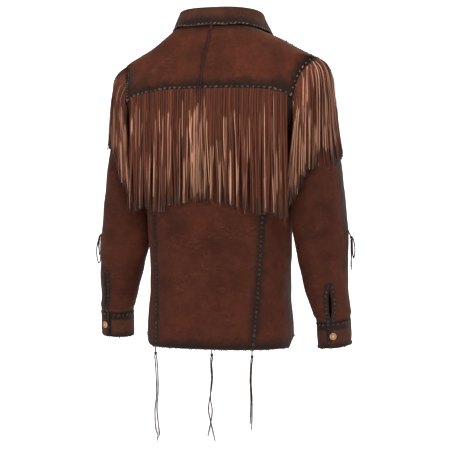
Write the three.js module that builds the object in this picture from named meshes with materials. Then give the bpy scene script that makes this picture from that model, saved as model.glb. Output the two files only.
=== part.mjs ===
// Long-sleeved suede western shirt with fringe, filled out as if worn.
// Millimetres, +Z up. The back faces +Y, the front faces -Y, the wearer's left is +X.
// The origin is on the plane of symmetry, level with the high points of the shoulders.
import * as THREE from 'three';

const { clamp, degToRad, lerp, smoothstep } = THREE.MathUtils;

// Cloth
const WALL = 1.6; // thickness of the suede
const SEAM = 0.3; // gap between sewn pieces
const SQUARE = 2.45; // squareness of the body's cross-section, 2 is an ellipse
// Body
const HEM_Z = -725;
const VENT_CORNER = 28; // radius of the hem's corners at the side vents
const LAP_STEP = 2.1; // how far the right front lies beneath the left
// Cuffs
const CUFF_LAP = 30; // degrees of overlap
const CUFF_EDGE = 84; // degrees from the outer side to the free edge of the overlap
const SLIT = [68, 76]; // degrees, sides of the placket slit above the cuff
const SLIT_ROW = 9.05; // sleeve row where the slit ends
// Fringe
const BACK_STRANDS = 59;
const BACK_FRINGE = 262;
const SLEEVE_STRANDS = 25;
const SLEEVE_FRINGE = 232;
const STRIP = 8; // height of the backing strip
const STRIP_GAP = 0.9; // from the cloth to the strip
const STRAND_THICK = 1.5;
// Laces and buttons
const LACE = 3;
const BUTTON = 17;
const BUTTON_THICK = 3.4;

// Rows of the body from the hem up. The edge is the side seam up to the armpit, then the armhole
// seam, then the shoulder seam. mid is the height at the centre back, open the front's inner edge,
// and panel the long back seams.
const TRUNK = {
  columns: ['row', 'edgeZ', 'edgeX', 'edgeBack', 'edgeFront', 'midZ', 'openZ', 'openX',
    'panelLeft', 'panelRight'],
  rows: [
    [0, -725, 173, 6, 2, -725, -725, -15, 122, 112],
    [1, -690, 171.5, 5, 2, -690, -690, -15, 123, 114],
    [2, -645, 169, 3, 1, -645, -645, -15, 124, 117],
    [3, -600, 166.5, 0, 0, -600, -600, -15, 126, 120],
    [4, -545, 165, 0, 0, -545, -545, -15, 128, 123],
    [5, -490, 165.5, 0, 0, -490, -490, -15, 130, 126],
    [6, -430, 167, 0, 0, -430, -430, -15, 132, 129],
    [7, -370, 170.5, 0, 0, -370, -370, -15, 134, 133],
    [8, -310, 177, 0, 0, -308, -312, -15, 137, 137],
    [9, -265, 184, 0, 0, -262, -270, -15, 139, 139],
    [10, -240, 187, 0, 0, -238, -248, -15, 140, 140],
    [11, -230, 189, 38, 38, -222, -236, -15, 141, 141],
    [12, -212, 192, 68, 64, -196, -222, -15, 141, 141],
    [13, -186, 196, 88, 80, -165, -206, -15, 142, 142],
    [14, -155, 200, 95, 86, -131, -190, -15, 142, 142],
    [15, -130, 203.5, 86, 77, -112, -176, -15, 142, 142],
    [16, -117, 206.5, 77, 70, -103, -164, -5, 142, 142],
    [17, -97, 211.5, 60, 56, -88, -148, 9, 142, 142],
    [18, -77, 219, 39, 37, -74, -126, 25, 142, 142],
    [19, -65, 227, 20, 19, -63, -108, 38, 142, 142],
    [20, -60, 231, 0, 0, -56, -92, 50, 142, 142],
    [21, -45, 202, 0, 0, -40, -72, 65, 142, 142],
    [22, -30, 173, 0, 0, -24, -50, 83, 142, 142],
    [23, -15, 144, 0, 0, -5, -25, 101, 142, 142],
    [24, 0, 107, 0, 0, 15, -3, 104.5, 142, 142],
  ],
};
const YOKE_ROW = 14;
const ARMPIT_ROW = 10;
const TIP_ROW = 20;
// Angle round the sleeve of each armhole row, from 180 at the armpit to 0 at the shoulder
const ARM_ANGLES = [180, 155, 135, 115, 95, 76, 68, 54, 36, 18, 0];

// Depth of the body behind and before the side seams, by height
const DEPTH = {
  columns: ['z', 'back', 'front'],
  rows: [
    [-725, 129, 118], [-640, 127, 117], [-560, 126.5, 117], [-480, 128, 119], [-400, 130.5, 122],
    [-320, 134, 126], [-240, 136, 128], [-155, 133, 119], [-110, 127, 112], [-60, 115, 103],
    [-30, 105, 97], [0, 95, 90], [15, 88, 84],
  ],
};

// Rings of the sleeve below the armhole: outermost and innermost point, middle, half depth, drop
// of the back side and how far the outer side turns forward
const SLEEVE = {
  columns: ['row', 'outX', 'outZ', 'inX', 'inZ', 'midY', 'deep', 'rake', 'skew'],
  rows: [
    [1, 252, -81, 189.5, -247, -4, 90, 0, 2],
    [2, 263, -126, 191, -254, -6, 86, 0, 5],
    [3, 269, -190, 190.5, -266, -6, 82, 0, 8],
    [4, 274, -250, 190, -288, -5, 78, 0, 11],
    [5, 286, -320, 188.5, -338, -3, 74, 0, 13],
    [6, 294, -395, 187, -400, -1, 70, 0, 14],
    [7, 300, -465, 184.5, -465, 0, 67, -1, 13],
    [8, 302, -525, 193, -525, 1, 62, -3, 6],
    [9, 303, -583, 204, -585, -4, 56, -5, 5],
    [10, 305, -631, 218, -636, -12, 50, -5, 4],
    [11, 306, -659, 229, -665, -17, 46, -5, 2],
    [12, 307, -717, 231, -724, -24, 46, -5, 0],
  ],
};
const CUFF_ROW = 11;

// Stations of the collar from the centre back to the front end: fold line and falling edge
const COLLAR = {
  columns: ['step', 'foldX', 'foldY', 'foldZ', 'edgeX', 'edgeY', 'edgeZ'],
  rows: [
    [0, 0, 73, 51, 0, 97, 16],
    [1, 33, 70, 51, 37, 93, 15],
    [2, 62, 58, 50.5, 72.5, 81, 14],
    [3, 85, 34, 49, 102, 49.5, 9.5],
    [4, 95, 4, 47, 117, 8, 4],
    [5, 96, -26, 42, 122, -30, -4],
    [6, 92, -52, 28, 121, -66, -22],
    [7, 86, -74, 6, 116, -96, -52],
    [8, 79, -86, -16, 104, -113, -88],
  ],
};
const COLLAR_FOLD = 4.5; // radius of the collar's fold

const LOOKS = {
  suede: { color: 0x5a3022, roughness: 0.92, metalness: 0 },
  yoke: { color: 0x693a2a, roughness: 0.92, metalness: 0 },
  collar: { color: 0x55392f, roughness: 0.9, metalness: 0 },
  fringe: { color: 0x6b4535, roughness: 0.9, metalness: 0 },
  lace: { color: 0x6a544e, roughness: 0.8, metalness: 0 },
  brass: { color: 0xc9a077, roughness: 0.4, metalness: 0.6 },
};

const shirt = new THREE.Group();
const vec = (x, y, z) => new THREE.Vector3(x, y, z);
const signed = (x, p) => Math.sign(x) * Math.abs(x) ** p;
const range = (n, from = 0, to = 1) => Array.from({ length: n + 1 }, (_, i) => lerp(from, to, i / n));
const mirrored = (p, side) => vec(p.x * side, p.y, p.z);

// Smooth value of a table's column at a place along its first column
function read(table, name, at) {
  const { rows } = table;
  const c = table.columns.indexOf(name);
  let i = 0;
  while (i < rows.length - 2 && at > rows[i + 1][0]) i += 1;
  const [a, b] = [rows[i], rows[i + 1]];
  const h = b[0] - a[0];
  const t = clamp((at - a[0]) / h, 0, 1);
  const slope = (k) => {
    const [p, q] = [rows[Math.max(k - 1, 0)], rows[Math.min(k + 1, rows.length - 1)]];
    return (q[c] - p[c]) / (q[0] - p[0]);
  };
  const [t2, t3] = [t * t, t * t * t];
  return (2 * t3 - 3 * t2 + 1) * a[c] + (t3 - 2 * t2 + t) * h * slope(i)
    + (3 * t2 - 2 * t3) * b[c] + (t3 - t2) * h * slope(i + 1);
}

// Vertices and faces of one closed piece
class Skin {
  points = [];
  faces = [];

  add(p) {
    this.points.push(p.x, p.y, p.z);
    return this.points.length / 3 - 1;
  }

  quad(a, b, c, d) {
    this.faces.push(a, b, c, a, c, d);
  }

  mesh(name, look) {
    const at = (i) => vec(...this.points.slice(i * 3, i * 3 + 3));
    let volume = 0;
    for (let i = 0; i < this.faces.length; i += 3) {
      const [a, b, c] = this.faces.slice(i, i + 3).map(at);
      volume += a.dot(b.cross(c));
    }
    if (volume < 0) this.faces.reverse();
    const shape = new THREE.BufferGeometry();
    shape.setAttribute('position', new THREE.Float32BufferAttribute(this.points, 3));
    shape.setIndex(this.faces);
    const made = new THREE.Mesh(shape, new THREE.MeshStandardMaterial(LOOKS[look]));
    made.name = name;
    shirt.add(made);
  }
}

// Direction square to a surface
function square(place, u, v) {
  const h = 1e-4;
  const [u0, u1, v0, v1] = [Math.max(u - h, 0), Math.min(u + h, 1), Math.max(v - h, 0), Math.min(v + h, 1)];
  return place(u1, v).sub(place(u0, v)).cross(place(u, v1).sub(place(u, v0))).normalize();
}

// The same, pointing away from the inside point
function facing(place, u, v, inside) {
  const n = square(place, u, v);
  return n.dot(place(u, v).sub(inside(u, v))) < 0 ? n.negate() : n;
}

// Cloth wall on a surface. hole leaves cells out, mitre turns the normal at an edge, and tails
// runs cells of the last row on as strands.
function wall(name, look, place, us, vs, { inside, hole = () => false, mitre = () => null,
  lift = 0, tails = () => null, inset = SEAM / 2 }) {
  const skin = new Skin();
  const [cols, rows] = [us.length, vs.length];
  const at = vs.map((v) => us.map((u) => place(u, v)));
  const pull = (p, q) => q.clone().sub(p).setLength(inset);
  const outer = [];
  const inner = [];
  vs.forEach((v, j) => {
    outer.push([]);
    inner.push([]);
    us.forEach((u, i) => {
      const n = mitre(u, v) ?? facing(place, u, v, inside);
      const p = at[j][i].clone().addScaledVector(n, lift);
      if (i === 0) p.add(pull(at[j][0], at[j][1]));
      if (i === cols - 1) p.add(pull(at[j][i], at[j][i - 1]));
      if (j === 0) p.add(pull(at[0][i], at[1][i]));
      if (j === rows - 1) p.add(pull(at[j][i], at[j - 1][i]));
      outer[j].push(skin.add(p));
      inner[j].push(skin.add(p.clone().addScaledVector(n, -WALL)));
    });
  });
  const kept = (i, j) => i >= 0 && j >= 0 && i < cols - 1 && j < rows - 1 && !hole(i, j);
  for (let j = 0; j < rows - 1; j += 1) {
    for (let i = 0; i < cols - 1; i += 1) {
      if (!kept(i, j)) continue;
      const ring = [[i, j], [i + 1, j], [i + 1, j + 1], [i, j + 1]];
      const beyond = [[i, j - 1], [i + 1, j], [i, j + 1], [i - 1, j]];
      skin.quad(...ring.map(([x, y]) => outer[y][x]));
      skin.quad(...[...ring].reverse().map(([x, y]) => inner[y][x]));
      ring.forEach(([x, y], k) => {
        if (kept(...beyond[k])) return;
        const [x1, y1] = ring[(k + 1) % 4];
        let loop = [outer[y1][x1], outer[y][x], inner[y][x], inner[y1][x1]];
        const strand = k === 2 && j === rows - 2 ? tails(i) : null;
        for (const next of strand ?? []) {
          const ends = next.map((p) => skin.add(p));
          loop.forEach((p, m) => skin.quad(p, loop[(m + 1) % 4], ends[(m + 1) % 4], ends[m]));
          loop = ends;
        }
        skin.quad(...loop);
      });
    }
  }
  skin.mesh(name, look);
}

// Body surface
const trunk = (name, row) => read(TRUNK, name, row);

// Half-width and end angle of the cross-section that meets the row's edge
function section(row, face) {
  const deep = read(DEPTH, face, trunk('edgeZ', row));
  const share = Math.max(trunk(face === 'back' ? 'edgeBack' : 'edgeFront', row), 0) / deep;
  return { half: trunk('edgeX', row) / (1 - share ** SQUARE) ** (1 / SQUARE), end: Math.asin(share ** (SQUARE / 2)) };
}

// Rise of the hem at the rounded corner, mm from the vent edge
function cornerRise(gap, z) {
  const short = VENT_CORNER - Math.min(gap, VENT_CORNER);
  const rise = VENT_CORNER - Math.sqrt(VENT_CORNER ** 2 - short ** 2);
  return rise * (1 - smoothstep(z, HEM_Z, HEM_Z + 90));
}

// Back at a row; across runs from 0 at the centre to 1 at the left edge, -1 at the right
function backAt(row, across) {
  const s = Math.abs(across);
  const { half, end } = section(row, 'back');
  const bend = lerp(4, 2, clamp((row - YOKE_ROW) / 10, 0, 1));
  const z = lerp(trunk('midZ', row), trunk('edgeZ', row), s ** bend);
  const angle = lerp(Math.PI / 2, end, s);
  const x = half * Math.cos(angle) ** (2 / SQUARE);
  const y = read(DEPTH, 'back', z) * Math.sin(angle) ** (2 / SQUARE);
  return vec(Math.sign(across) * x, y, z + cornerRise((1 - s) * 215, z));
}

// Where the long back seam lies across the back
function panelShare(row, side) {
  const { half, end } = section(row, 'back');
  const x = trunk(side > 0 ? 'panelLeft' : 'panelRight', row);
  return (Math.PI / 2 - Math.acos((x / half) ** (SQUARE / 2))) / (Math.PI / 2 - end);
}

// Left front at a row; across runs from 0 at the inner edge to 1 at the side
function frontAt(row, across) {
  const { half, end } = section(row, 'front');
  const from = Math.acos(signed(trunk('openX', row) / half, SQUARE / 2));
  const angle = lerp(from, end, across);
  const z = lerp(trunk('openZ', row), trunk('edgeZ', row), across);
  const x = half * signed(Math.cos(angle), 2 / SQUARE);
  const y = -read(DEPTH, 'front', z) * Math.sin(angle) ** (2 / SQUARE);
  return vec(x, y, z + cornerRise((1 - across) * 240, z));
}

// Sleeve surface: angle 0 is outermost, 90 the back, 180 the underarm, -90 the front
const armRow = (angle) => {
  const a = Math.abs(angle);
  let i = 0;
  while (i < ARM_ANGLES.length - 2 && a < ARM_ANGLES[i + 1]) i += 1;
  return ARMPIT_ROW + i + (ARM_ANGLES[i] - a) / (ARM_ANGLES[i] - ARM_ANGLES[i + 1]);
};

function sleeveRing(row, angle) {
  if (row <= 0) {
    return angle < 0 ? frontAt(armRow(angle), 1) : backAt(armRow(angle), 1);
  }
  const [, outX, outZ, inX, inZ, midY, deep, rake, skew] = SLEEVE.rows[row - 1];
  const [c, s] = [Math.cos(degToRad(angle)), Math.sin(degToRad(angle))];
  return vec((outX + inX) / 2 + (c * (outX - inX)) / 2, midY + deep * s - skew * c,
    (outZ + inZ) / 2 + (c * (outZ - inZ)) / 2 + rake * s);
}

function sleeveAt(row, angle) {
  const last = SLEEVE.rows.length;
  const i = clamp(Math.floor(row), 0, last - 1);
  const t = row - i;
  const [a, b] = [sleeveRing(i, angle), sleeveRing(i + 1, angle)];
  const before = i > 0 ? sleeveRing(i - 1, angle) : a.clone().multiplyScalar(2).sub(b);
  const after = i + 2 <= last ? sleeveRing(i + 2, angle) : b.clone().multiplyScalar(2).sub(a);
  const p = a.clone().multiplyScalar(2);
  p.addScaledVector(b.clone().sub(before), t);
  p.add(before.clone().multiplyScalar(2).addScaledVector(a, -5).addScaledVector(b, 4).sub(after)
    .multiplyScalar(t * t));
  p.add(a.clone().multiplyScalar(3).addScaledVector(b, -3).add(after).sub(before)
    .multiplyScalar(t * t * t));
  return p.multiplyScalar(0.5);
}
const sleeveAxis = (row) => sleeveAt(row, 0).add(sleeveAt(row, 180)).multiplyScalar(0.5);

// Shared normal where the body meets the sleeve
function armNormal(angle) {
  const row = armRow(angle);
  const face = angle < 0 ? 'front' : 'back';
  const { half } = section(row, face);
  const deep = read(DEPTH, face, trunk('edgeZ', row));
  const edge = sleeveRing(0, angle);
  const up = 0.9 * smoothstep(row, ARMPIT_ROW + 2, TIP_ROW);
  const n = vec((edge.x / half) ** (SQUARE - 1) / half, signed(edge.y / deep, SQUARE - 1) / deep, 0);
  n.setLength(Math.sqrt(1 - up ** 2)).setZ(up);
  const sleeve = (u, v) => sleeveAt(v * 12, u * 360 - 180);
  n.add(facing(sleeve, angle / 360 + 0.5, 0, () => vec(212, 0, -150)));
  return n.setY(angle % 180 === 0 ? 0 : n.y).normalize();
}

// Sizes of the grids
const BELOW = [0, 1, 3, 5, 8, 9, 10];
const ARM = [11, 12, 13, 14];
const ABOVE = [15, 16, 17, 18, 19, 20, 21, 22, 23, 24];
const trunkAxis = (row) => vec(0, 0, Math.min(trunk('edgeZ', row), -20));
const armMitre = (u, v, side, face) => {
  const row = Math.round(v * 24);
  if (Math.abs(u) < 0.999 || row < ARMPIT_ROW || row > TIP_ROW) return null;
  const angle = ARM_ANGLES[row - ARMPIT_ROW];
  return mirrored(armNormal(face === 'front' ? -angle : angle), side);
};

function buildBack() {
  const middle = [-1, -0.72, -0.46, -0.24, -0.1, 0, 0.1, 0.24, 0.46, 0.72, 1];
  const flank = [0, 0.22, 0.44, 0.66, 0.8, 0.92, 0.98, 1];
  const share = panelShare(YOKE_ROW, 1);
  const outer = flank.slice(1).map((f) => lerp(share, 1, f));
  const across = [...outer.map((s) => -s).reverse(), ...middle.map((s) => s * share), ...outer];
  wall('back_yoke', 'yoke', (u, v) => backAt(v * 24, u * 2 - 1),
    across.map((s) => (s + 1) / 2), [YOKE_ROW, ...ABOVE].map((r) => r / 24), {
      inside: (u, v) => trunkAxis(v * 24),
      mitre: (u, v) => armMitre(u * 2 - 1, v, Math.sign(u - 0.5), 'back'),
    });
  const rows = [...BELOW, ...ARM].map((r) => r / 24);
  wall('back_centre', 'suede', (u, v) => backAt(v * 24, (u * 2 - 1) * panelShare(v * 24, u - 0.5)),
    middle.map((s) => (s + 1) / 2), rows, { inside: (u, v) => trunkAxis(v * 24) });
  for (const [name, side] of [['left', 1], ['right', -1]]) {
    wall(`back_side_${name}`, 'suede',
      (u, v) => mirrored(backAt(v * 24, lerp(panelShare(v * 24, side), 1, u)), side),
      flank, rows, {
        inside: (u, v) => trunkAxis(v * 24),
        mitre: (u, v) => armMitre(u, v, side, 'back'),
      });
  }
}

// The right front dips beneath the left where they lap
function frontOf(row, across, side) {
  const p = frontAt(row, across);
  if (side < 0) p.y += LAP_STEP * (1 - smoothstep(p.x, 15, 35));
  return mirrored(p, side);
}

function buildFronts() {
  const rows = [...BELOW, ...ARM, ...ABOVE.slice(0, -1), 23.8].map((r) => r / 24);
  for (const [name, side] of [['left', 1], ['right', -1]]) {
    wall(`front_${name}`, 'suede', (u, v) => frontOf(v * 24, u, side),
      [0, 0.07, 0.16, 0.28, 0.43, 0.6, 0.76, 0.9, 0.98, 1], rows, {
        inside: (u, v) => trunkAxis(v * 24),
        mitre: (u, v) => armMitre(u, v, side, 'front'),
      });
  }
}

function buildSleeve(name, side) {
  const rows = [0, 0.5, 1, 2, 3, 4.5, 6, 7, 8, SLIT_ROW, 10, CUFF_ROW];
  const last = SLEEVE.rows.length;
  for (const [face, turn] of [['back', 1], ['front', -1]]) {
    const angles = [...ARM_ANGLES].reverse();
    const slit = angles.indexOf(SLIT[0]);
    const place = (u, v) => mirrored(sleeveAt(v * last, turn * u * 180), side);
    const inside = (u, v) => mirrored(v > 0 ? sleeveAxis(v * last) : vec(212, 0, -150), side);
    wall(`sleeve_${name}_${face}`, 'suede', place,
      angles.map((a) => a / 180), rows.map((r) => r / last), {
        inside, inset: SEAM,
        hole: (i, j) => face === 'back' && i === slit && rows[j] >= SLIT_ROW,
        mitre: (u, v) => {
          if (v === 0) return mirrored(armNormal(turn * u * 180), side);
          if (u > 0 && u < 1) return null;
          return facing(place, u, v, inside).setY(0).normalize();
        },
      });
  }
}

// Cuff surface: the band starts at its free edge and runs round under itself
function cuffAt(turn, v) {
  const angle = CUFF_EDGE - turn;
  const p = sleeveAt(lerp(CUFF_ROW, CUFF_ROW + 1, v), angle);
  const c = sleeveAxis(lerp(CUFF_ROW, CUFF_ROW + 1, v));
  const lapped = (WALL + 0.6) * smoothstep(turn, 360 - 70, 360 - 8);
  return p.add(c.sub(p).setLength(lapped || 1e-9));
}

function buildCuff(name, side) {
  const total = 360 + CUFF_LAP;
  wall(`cuff_${name}`, 'suede', (u, v) => mirrored(cuffAt(u * total, v), side),
    range(28), [0, 0.5, 1], {
      inside: (u, v) => mirrored(sleeveAxis(CUFF_ROW + v), side), inset: SEAM,
    });
  button(`cuff_button_${name}`, mirrored(cuffAt(CUFF_EDGE - 68, 0.55), side),
    facing((u, v) => mirrored(cuffAt(u * total, v), side), (CUFF_EDGE - 68) / total, 0.55,
      () => mirrored(sleeveAxis(CUFF_ROW + 0.5), side)), 'brass');
}

// Round shank button standing on a surface
function button(name, at, out, look) {
  const r = BUTTON / 2;
  const profile = [[0, 0], [r * 0.92, 0], [r, 1.6], [r * 0.86, BUTTON_THICK], [r * 0.6, BUTTON_THICK - 0.6],
    [0, BUTTON_THICK - 0.6]];
  const shape = new THREE.LatheGeometry(profile.map(([x, y]) => new THREE.Vector2(x, y)), 12);
  const made = new THREE.Mesh(shape, new THREE.MeshStandardMaterial(LOOKS[look]));
  made.name = name;
  made.position.copy(at).addScaledVector(out, SEAM * 2);
  made.quaternion.setFromUnitVectors(vec(0, 1, 0), out);
  shirt.add(made);
}

function buildFrontButtons() {
  [-215, -311, -407, -503, -599, -695].forEach((z, i) => {
    const [y, above, below] = [z, z + 9, z - 9].map((at) => -read(DEPTH, 'front', at));
    button(`front_button_${i + 1}`, vec(0, y, z), vec(0, -18, above - below).normalize(), 'brass');
  });
}

// Collar: from the neck seam up inside, over the fold and down outside
function neckSeam(step) {
  if (step < 4.3) return backAt(24, (step / 4.3) ** 1.25);
  const front = Math.min((step - 4.3) / 0.6, 1);
  return frontAt(lerp(24, 23.8, front) - Math.max(step - 4.9, 0) * 0.58, 1 - front);
}

const foldAt = (step) => mirrored(
  vec(...['foldX', 'foldY', 'foldZ'].map((c) => read(COLLAR, c, Math.abs(step)))), Math.sign(step) || 1);

function collarAt(step, v) {
  const k = Math.abs(step);
  const seam = neckSeam(k);
  const fold = foldAt(k);
  const edge = vec(...['edgeX', 'edgeY', 'edgeZ'].map((c) => read(COLLAR, c, k)));
  const along = foldAt(Math.min(k + 0.05, 8)).sub(foldAt(k - 0.05)).normalize();
  const out = vec(edge.x - seam.x + fold.x * 0.15, edge.y - seam.y + (fold.y + 15) * 0.15, 0);
  out.addScaledVector(along, -out.dot(along)).normalize();
  const up = out.clone().cross(along);
  up.multiplyScalar(Math.sign(up.z));
  seam.z += SEAM * 2.5;
  const inner = fold.clone().addScaledVector(out, -COLLAR_FOLD);
  const outer = fold.clone().addScaledVector(out, COLLAR_FOLD);
  let p;
  if (v < 1 / 3) {
    p = seam.lerp(inner, v * 3);
  } else if (v < 2 / 3) {
    const a = (v * 3 - 1) * Math.PI;
    p = fold.addScaledVector(out, -Math.cos(a) * COLLAR_FOLD).addScaledVector(up, Math.sin(a) * COLLAR_FOLD);
  } else {
    p = outer.lerp(edge, v * 3 - 2);
  }
  return mirrored(p, Math.sign(step) || 1);
}

function buildCollar() {
  const steps = [0, 1, 2, 2.7, 3.3, 3.8, 4.3, 4.9, 5.9, 7, 8];
  const us = [...steps.slice(1).reverse().map((s) => -s), ...steps].map((s) => (s + 8) / 16);
  const vs = [0, 1 / 6, 0.33, 0.415, 0.5, 0.585, 0.67, 0.83, 1];
  const place = (u, v) => collarAt(u * 16 - 8, v);
  wall('collar', 'collar', place, us, vs, { mitre: (u, v) => square(place, u, v).negate() });
}

// Even scatter between -1 and 1
const scatter = (i) => 2 * (((i * 0.618034 + 0.137) * (1 + (i % 7) * 0.31)) % 1) - 1;

// Rings of one strand along its path, wide across and thin outward
function strandRings(path, wide) {
  return path.slice(1).map((p, k) => {
    const share = (k + 1) / (path.length - 1);
    const down = path[k + 1].clone().sub(path[k]).normalize();
    const side = p.side.clone().addScaledVector(down, -p.side.dot(down)).normalize();
    const out = p.out.clone().multiplyScalar(STRAND_THICK / 2);
    const half = side.multiplyScalar((wide / 2) * (1 - 0.35 * share ** 3));
    return [p.clone().sub(half).add(out), p.clone().add(half).add(out),
      p.clone().add(half).sub(out), p.clone().sub(half).sub(out)];
  });
}

function comb(count, share) {
  const us = [0];
  for (let i = 0; i < count; i += 1) us.push((i + (1 - share) / 2) / count, (i + (1 + share) / 2) / count);
  return [...us, 1];
}

function buildBackFringe() {
  const reach = 0.925;
  const drop = (s) => STRIP / (trunk('edgeZ', YOKE_ROW) - trunk('edgeZ', YOKE_ROW - 1)) * (1 + 0.1 * s);
  const place = (u, v) => backAt(YOKE_ROW + drop(0) * v, ((u * 2 - 1) * reach));
  const us = comb(BACK_STRANDS, 0.8);
  const tails = (i) => {
    if (i % 2 === 0) return null;
    const k = (i - 1) / 2;
    const u = (us[i] + us[i + 1]) / 2;
    const root = place(u, 1);
    const out = facing(place, u, 0.5, () => vec(0, 0, root.z));
    const side = vec(0, 0, 1).cross(out).normalize().multiplyScalar(-1);
    const layer = 2 + (k % 2) * 2.4;
    const length = BACK_FRINGE - STRIP + 5 * scatter(k) - 7 * (u - 0.5);
    const bends = Math.abs(root.x) > 105 ? [0, 0.1, 0.3, 1] : [0, 0.3, 1];
    const path = bends.map((t) => {
      const z = root.z - length * t;
      const x = root.x * (1 + 0.012 * t) + 1.6 * Math.sin(k * 0.9) * t;
      const half = Math.max(read(TRUNK_HALF, 'half', z), 1);
      const rest = Math.abs(x) < half ? read(DEPTH, 'back', z) * (1 - (Math.abs(x) / half) ** SQUARE) ** (1 / SQUARE) : 0;
      const y = Math.max(rest, root.y - 2 * t) + layer * Math.min(t * 9, 1) * out.y + WALL / 2 + STRIP_GAP;
      const p = vec(x, y, z);
      return Object.assign(p, { out, side });
    });
    return strandRings(path, root.distanceTo(place(us[i + 1], 1)) * 2);
  };
  wall('fringe_back', 'fringe', place, us, [0, 1], {
    inside: (u, v) => vec(0, 0, -140), lift: WALL + STRIP_GAP, tails, inset: 0.3,
  });
}

// Half-width of the body by height, as the long fringe meets it
const TRUNK_HALF = {
  columns: ['z', 'half'],
  rows: [[-440, 167], [-370, 170], [-310, 177], [-265, 184], [-240, 190], [-212, 208], [-186, 228], [-150, 250]],
};

function buildSleeveFringe(name, side) {
  const [from, to] = [-46, 104];
  const slope = STRIP / 34;
  const place = (u, v) => mirrored(sleeveAt(0.06 + v * slope, lerp(from, to, u)), side);
  const us = comb(SLEEVE_STRANDS, 0.72);
  const tails = (i) => {
    if (i % 2 === 0) return null;
    const k = (i - 1) / 2;
    const u = (us[i] + us[i + 1]) / 2;
    const angle = lerp(from, to, u);
    const layer = 1.4 + (k % 2) * 2.4;
    const wide = place(us[i], 1).distanceTo(place(us[i + 1], 1));
    const root = sleeveAt(0.06 + slope, angle);
    let row = 0.06 + slope;
    let gone = 0;
    const marks = [0, 0.05, 0.11, 0.2, 0.34, 0.62, 1].map((t) => t * (SLEEVE_FRINGE - STRIP + 5 * scatter(k)));
    const path = [];
    for (const mark of marks) {
      const lean = (g) => angle + 18 * signed(Math.sin(degToRad(angle)), 2) * smoothstep(g, 0, 150);
      while (gone < mark) {
        gone += sleeveAt(row, lean(gone)).distanceTo(sleeveAt(row + 0.02, lean(gone)));
        row += 0.02;
      }
      const p = sleeveAt(row, lean(gone));
      const out = p.clone().sub(sleeveAxis(row)).setZ(0).normalize();
      if (row < 2) out.lerp(facing((a, b) => sleeveAt(b * 12, a * 360 - 180), angle / 360 + 0.5, row / 12,
        () => sleeveAxis(Math.max(row, 0.3))), 1 - row / 2).normalize();
      const hung = Math.abs(root.y) - 3 * (gone / 200);
      if (Math.abs(angle) > 60 && Math.abs(p.y) < hung) p.y = Math.sign(p.y) * hung;
      p.addScaledVector(out, WALL / 2 + STRIP_GAP + layer * Math.min(gone / 12, 1));
      const next = sleeveAt(row, lean(gone) + 2).sub(sleeveAt(row, lean(gone) - 2)).normalize();
      path.push(Object.assign(mirrored(p, side), { out: mirrored(out, side), side: mirrored(next, side) }));
    }
    return strandRings(path, wide);
  };
  wall(`fringe_sleeve_${name}`, 'fringe', place, us, [0, 1], {
    inside: () => mirrored(vec(205, 0, -160), side), lift: WALL + STRIP_GAP, tails, inset: 0.3,
  });
}

// Laces. Each route is a list of points, and each hem and nape lace hangs from a knot.
const HEM_LACES = {
  columns: ['name', 'knotX', 'knotY', 'knotZ', 'first', 'second'],
  rows: [
    ['left', 124.6, 100.3, -741,
      [[-1.6, -1.8, -4.3], [-4.6, -1.8, -42], [-5.3, -1.8, -92], [-2.7, -1.8, -125], [-8.2, -1.8, -180],
        [-9.7, -1.8, -190]],
      [[1.6, 1.8, -4.3], [-1.5, 1.9, -42], [-3.1, 1.9, -95], [0.7, 1.9, -130], [-1.9, 1.9, -176],
        [-6.6, 1.9, -188], [-4.6, 1.9, -201]]],
    ['middle', -21, 128.1, -737,
      [[-1.6, -1.8, -4.3], [0.4, -1.8, -18], [-1.4, -1.8, -50], [1, -1.8, -74], [8.3, -1.8, -122],
        [2.6, -1.8, -152], [-7.6, -1.8, -194]],
      [[1.6, 1.8, -4.3], [2, 1.8, -18], [0.6, 1.8, -50], [2.4, 1.8, -98], [-1.7, 1.8, -124],
        [2.6, 1.8, -155], [8.5, 1.8, -182]]],
    ['right', -109.7, 108.9, -740,
      [[-1.6, -1.8, -4.3], [0.4, -1.8, -14], [2.3, -1.8, -54], [0.4, -1.8, -94], [0.6, -1.8, -131],
        [1.6, -1.8, -164]],
      [[1.6, 1.8, -4.3], [2.4, 1.8, -14], [4.1, 1.8, -54], [2.2, 1.8, -94], [2.6, 1.8, -120],
        [4, 1.8, -150]]],
  ],
};
const NAPE_KNOT = [-8.7, 95.6, 9];
const NAPE_LACE = {
  columns: ['name', 'points'],
  rows: [
    ['first', [[-10.4, 96.7, 4.8], [-8.6, 99.3, -6], [-5.6, 104.4, -22], [-2.4, 114.1, -48], [0.6, 120.6, -72],
      [3.2, 127, -100], [4.4, 132.6, -124], [5.6, 141.5, -146], [5.8, 143.8, -170]]],
    ['second', [[-7, 96.7, 4.8], [-4.6, 99.3, -6], [-1.6, 104.4, -22], [2.8, 114.1, -48], [6.6, 119.2, -66],
      [6.9, 124, -85], [8.2, 129, -108], [9.6, 136.4, -132], [13.2, 141.6, -148]]],
  ],
};
// Bow at the elbow, from its knot: out from the sleeve, forward and up
const BOW_KNOT = [310, -14, -474];
const BOW = {
  columns: ['name', 'points'],
  rows: [
    ['front_loop', [[5.6, -1.4, -0.4], [9, -6, -8], [12, -12, -24], [11, -13, -38], [8, -8, -47], [6, -2, -40],
      [5.4, 1, -26], [3.4, 0.5, -3.9]]],
    ['back_loop', [[1.4, 5.3, -0.8], [4, 10, -14], [5, 16, -34], [3, 18, -52], [1, 13, -66], [0, 6, -62],
      [0, 4, -44], [-0.6, 4.6, -24], [-1.7, 4, -4.3]]],
    ['tail', [[-0.9, -3.9, -3.9], [-2.4, -7, -20], [-2.4, -9, -40], [-1.6, -6.5, -58], [-1, -8, -74]]],
  ],
};
const KNOT = 4.2; // radius of a knot

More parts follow.
